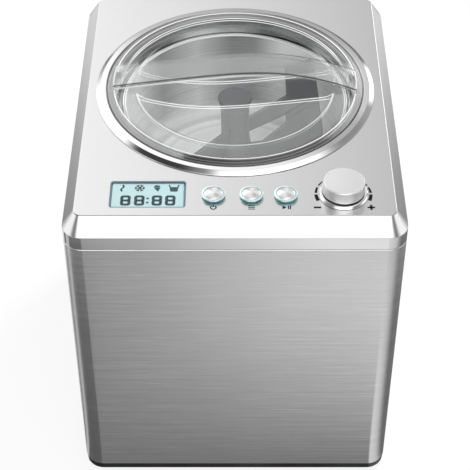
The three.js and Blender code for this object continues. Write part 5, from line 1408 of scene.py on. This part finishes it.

# Floor, light and camera

# In the floor's painted map for metal, shade is the painted shadow's level and left and right list the painted bands
# round the front corners.
stage = {
    "floor": 0.9, "shown": 0.85, "near": 0.52, "far": 0.64, "open": 0.85, "shade": 0.19, "reach": 2.3, "sideways": 4.3,
    "fanFrom": 8.6, "fanEdge": (3.5, 11.0), "fanEnd": (0.30, 0.45), "behind": (0.14, 0.20),
    "left": [(0.0, 0.11), (0.45, 0.13), (0.48, 0.6), (0.58, 0.6), (0.61, 0.14), (0.69, 0.14), (0.72, 0.9), (1.0, 0.9)],
    "right": [(0.0, 0.75), (0.15, 0.82), (0.28, 0.68), (0.40, 0.3), (0.47, 0.15), (0.83, 0.18), (1.0, 0.33)],
}


# What metal mirrors of the floor, painted: in front a painted shadow of the object that brightens with the distance
# times the place across, and round each front corner painted light and dark bands in a fan, told apart by their angle.
def paintedFloorReflection(shader, x, y):
    across = shader.maths("ABSOLUTE", x) - (halfWidth - cabinet["corner"]) * mm
    ahead = y * -1 - (halfDepth - cabinet["corner"]) * mm
    reach = (y * -1 - halfDepth * mm) * stage["reach"] * (x * stage["sideways"] + 1)
    front = shader.ranged(reach, 0, 1, stage["shade"], 1.0)
    angle = shader.maths("ARCTAN2", across, ahead) / math.pi
    right = shader.maths("GREATER_THAN", x, 0.0)
    fan = shader.mixed(right, *[shader.ramp(angle, stage[side]) for side in ("left", "right")])
    start, (narrow, broad) = stage["fanFrom"] / 180, (edge / 180 for edge in stage["fanEdge"])
    turned = shader.ranged(angle, start, right * (broad - narrow) + (start + narrow), smooth=True)
    level = shader.mixed(turned, front, fan)
    distance = shader.maths("SQRT", across * across + ahead * ahead)
    past = shader.ranged(distance, *stage["fanEnd"], smooth=True) * shader.maths("GREATER_THAN", across, 0.0)
    behind = shader.ranged(y, *stage["behind"])
    return shader.mixed(shader.most(past, behind), level, grey(stage["open"]))


# A pale floor that shows as plain white to the eye and to glass, mixed with its own shaded surface so that it keeps the
# object's shadow;
# to metal it shows the painted shadow and bands above in its place. Far out it fades away.
def floorRecipe(shader):
    seen = shader.rays("Camera", "Glossy", "Transmission")
    fine = shader.noise(40, 3.0)
    dull = shader.node("ShaderNodeBsdfPrincipled", None, {
        "Base Color": shader.mixed(fine, grey(stage["floor"]), grey(stage["floor"] * 0.985)),
        "Roughness": 0.9, "Specular IOR Level": 0.0})
    white, black = (shader.node("ShaderNodeEmission", None, {"Color": (1, 1, 1, 1), "Strength": k}) for k in (1.0, 0.0))
    x, y, z = shader.axes()
    edge = shader.ranged(shader.maths("SQRT", x * x + y * y), stage["near"], stage["far"], smooth=True)
    shown = shader.blend(shader.most(seen[0], seen[2]) * stage["shown"], dull, white)
    shown = shader.blend(seen[1], shown, shader.blend(paintedFloorReflection(shader, x, y), black, white))
    return shader.blend(edge, shown, shader.node("ShaderNodeBsdfTransparent"))


angle = np.arange(96) * tau / 96
disc = np.stack([np.cos(angle), np.sin(angle)], 1) * (stage["far"] + 0.02) / mm
floor = makePiece("floor", slab(disc, -2.0, 0.0))
floor.data.materials.append(finish("pale floor", floorRecipe))

# Soft studio all round, as a sum of broad panels. Each has the bearing of its middle
# (0 behind the object, 90 at its right), its height above the horizon, its half width and
# half height in degrees, the share of them that its edge fades over, and its brightness.
studio = {
    "base": 0.25,
    "below": [(-0.40, 0.22), (-0.365, 0.28), (-0.335, 0.5), (-0.30, 0.98), (-0.275, 0.85), (-0.255, 0.2),
              (-0.235, 0.2), (-0.20, 0.9), (-0.03, 0.9)],
    "panels": [
        {"bearing": -41, "height": 34, "wide": 36, "high": 24, "fade": 0.40, "level": 1.38},
        {"bearing": 70, "height": 42, "wide": 26, "high": 30, "fade": 0.5, "level": 0.5},
        {"bearing": 120, "height": 74, "wide": 26, "high": 17, "fade": 0.35, "level": 1.8},
        {"bearing": 180, "height": 37, "wide": 30, "high": 25, "fade": 0.35, "level": 1.8},
        {"bearing": -90, "height": 5, "wide": 34, "high": 13, "fade": 0.35, "level": 1.2},
        {"bearing": 90, "height": 5, "wide": 34, "high": 13, "fade": 0.35, "level": 1.2},
        {"bearing": 34, "height": 14, "wide": 8, "high": 11, "fade": 0.5, "level": 2.6},
        {"bearing": -83, "height": 60, "wide": 17, "high": 13, "fade": 0.35, "level": 0.05},
    ],
}
world = bpy.data.worlds.new("studio")
bpy.context.scene.world = world
world.use_nodes = True
sky = Shader(world.node_tree)
way = sky.node("ShaderNodeTexCoord", output="Generated")


# The direction of a bearing and a height above the horizon, in degrees.
def direction(spot):
    bearing, height = math.radians(spot["bearing"]), math.radians(spot["height"])
    return math.sin(bearing) * math.cos(height), math.cos(bearing) * math.cos(height), math.sin(height)


# How much of a panel is seen in a direction: one inside it, nothing outside. The direction's
# parts across and up the panel, each over the sine of its half size, give the distance.
def panelShare(panel):
    bearing, height = math.radians(panel["bearing"]), math.radians(panel["height"])
    across = (math.cos(bearing), -math.sin(bearing), 0.0)
    upward = (-math.sin(bearing) * math.sin(height), -math.cos(bearing) * math.sin(height), math.cos(height))
    a = sky.dot(way, across) / math.sin(math.radians(panel["wide"]))
    b = sky.dot(way, upward) / math.sin(math.radians(panel["high"]))
    far = sky.maths("SQRT", sky.maths("SQRT", a * a * a * a + b * b * b * b))
    inside = sky.ranged(far, 1 + panel["fade"], 1 - panel["fade"], smooth=True)
    return inside * sky.ranged(sky.dot(way, direction(panel)), 0.0, 0.2)


light = studio["base"]
for panel in studio["panels"]:
    light = panelShare(panel) * (panel["level"] - light) + light
# Under the horizon the brightness follows the height alone, by the list of stops.
height = sky.axes(way)[2]
low, high = studio["below"][0][0], studio["below"][-1][0]
stops = [((at - low) / (high - low), level) for at, level in studio["below"]]
under = sky.ramp(sky.ranged(height, low, high), stops)
light = sky.mixed(sky.ranged(height, -0.02, -0.12, smooth=True), light, under)
plain = sky.most(*sky.rays("Camera", "Transmission"))
backdrop = sky.node("ShaderNodeBackground", None, {"Color": sky.mixed(plain, light, grey(1.0)), "Strength": 1.0})
sky.node("ShaderNodeOutputWorld", None, {"Surface": backdrop})

# The key lamp stands behind at the right and throws the object's shadow forwards and left.
# Metal mirrors the studio, not the lamp.
key = {"bearing": 35, "height": 38, "far": 1.6, "aim": 0.15, "size": 0.55, "power": 22.0}
toLamp = Vector(direction(key))
data = bpy.data.lights.new("key", "AREA")
data.shape, data.size, data.energy = "DISK", key["size"], key["power"]
lamp = shownObject("key", data)
lamp.location = Vector((0, 0, key["aim"])) + toLamp * key["far"]
lamp.rotation_euler = toLamp.to_track_quat("Z", "Y").to_euler()
lamp.visible_glossy = False

view = {"at": (0.0, -0.96553, 1.04288), "aim": (0.0, -0.00914, 0.15693), "lens": 108.63, "sensor": 36.0}
data = bpy.data.cameras.new("camera")
data.lens, data.sensor_width, data.sensor_fit = view["lens"], view["sensor"], "HORIZONTAL"
data.clip_start, data.clip_end = 0.05, 20
camera = shownObject("camera", data)
camera.location = view["at"]
camera.rotation_euler = (Vector(view["aim"]) - Vector(view["at"])).to_track_quat("-Z", "Y").to_euler()
bpy.context.scene.camera = camera
bpy.context.scene.view_settings.view_transform = "Standard"
print("stage set")
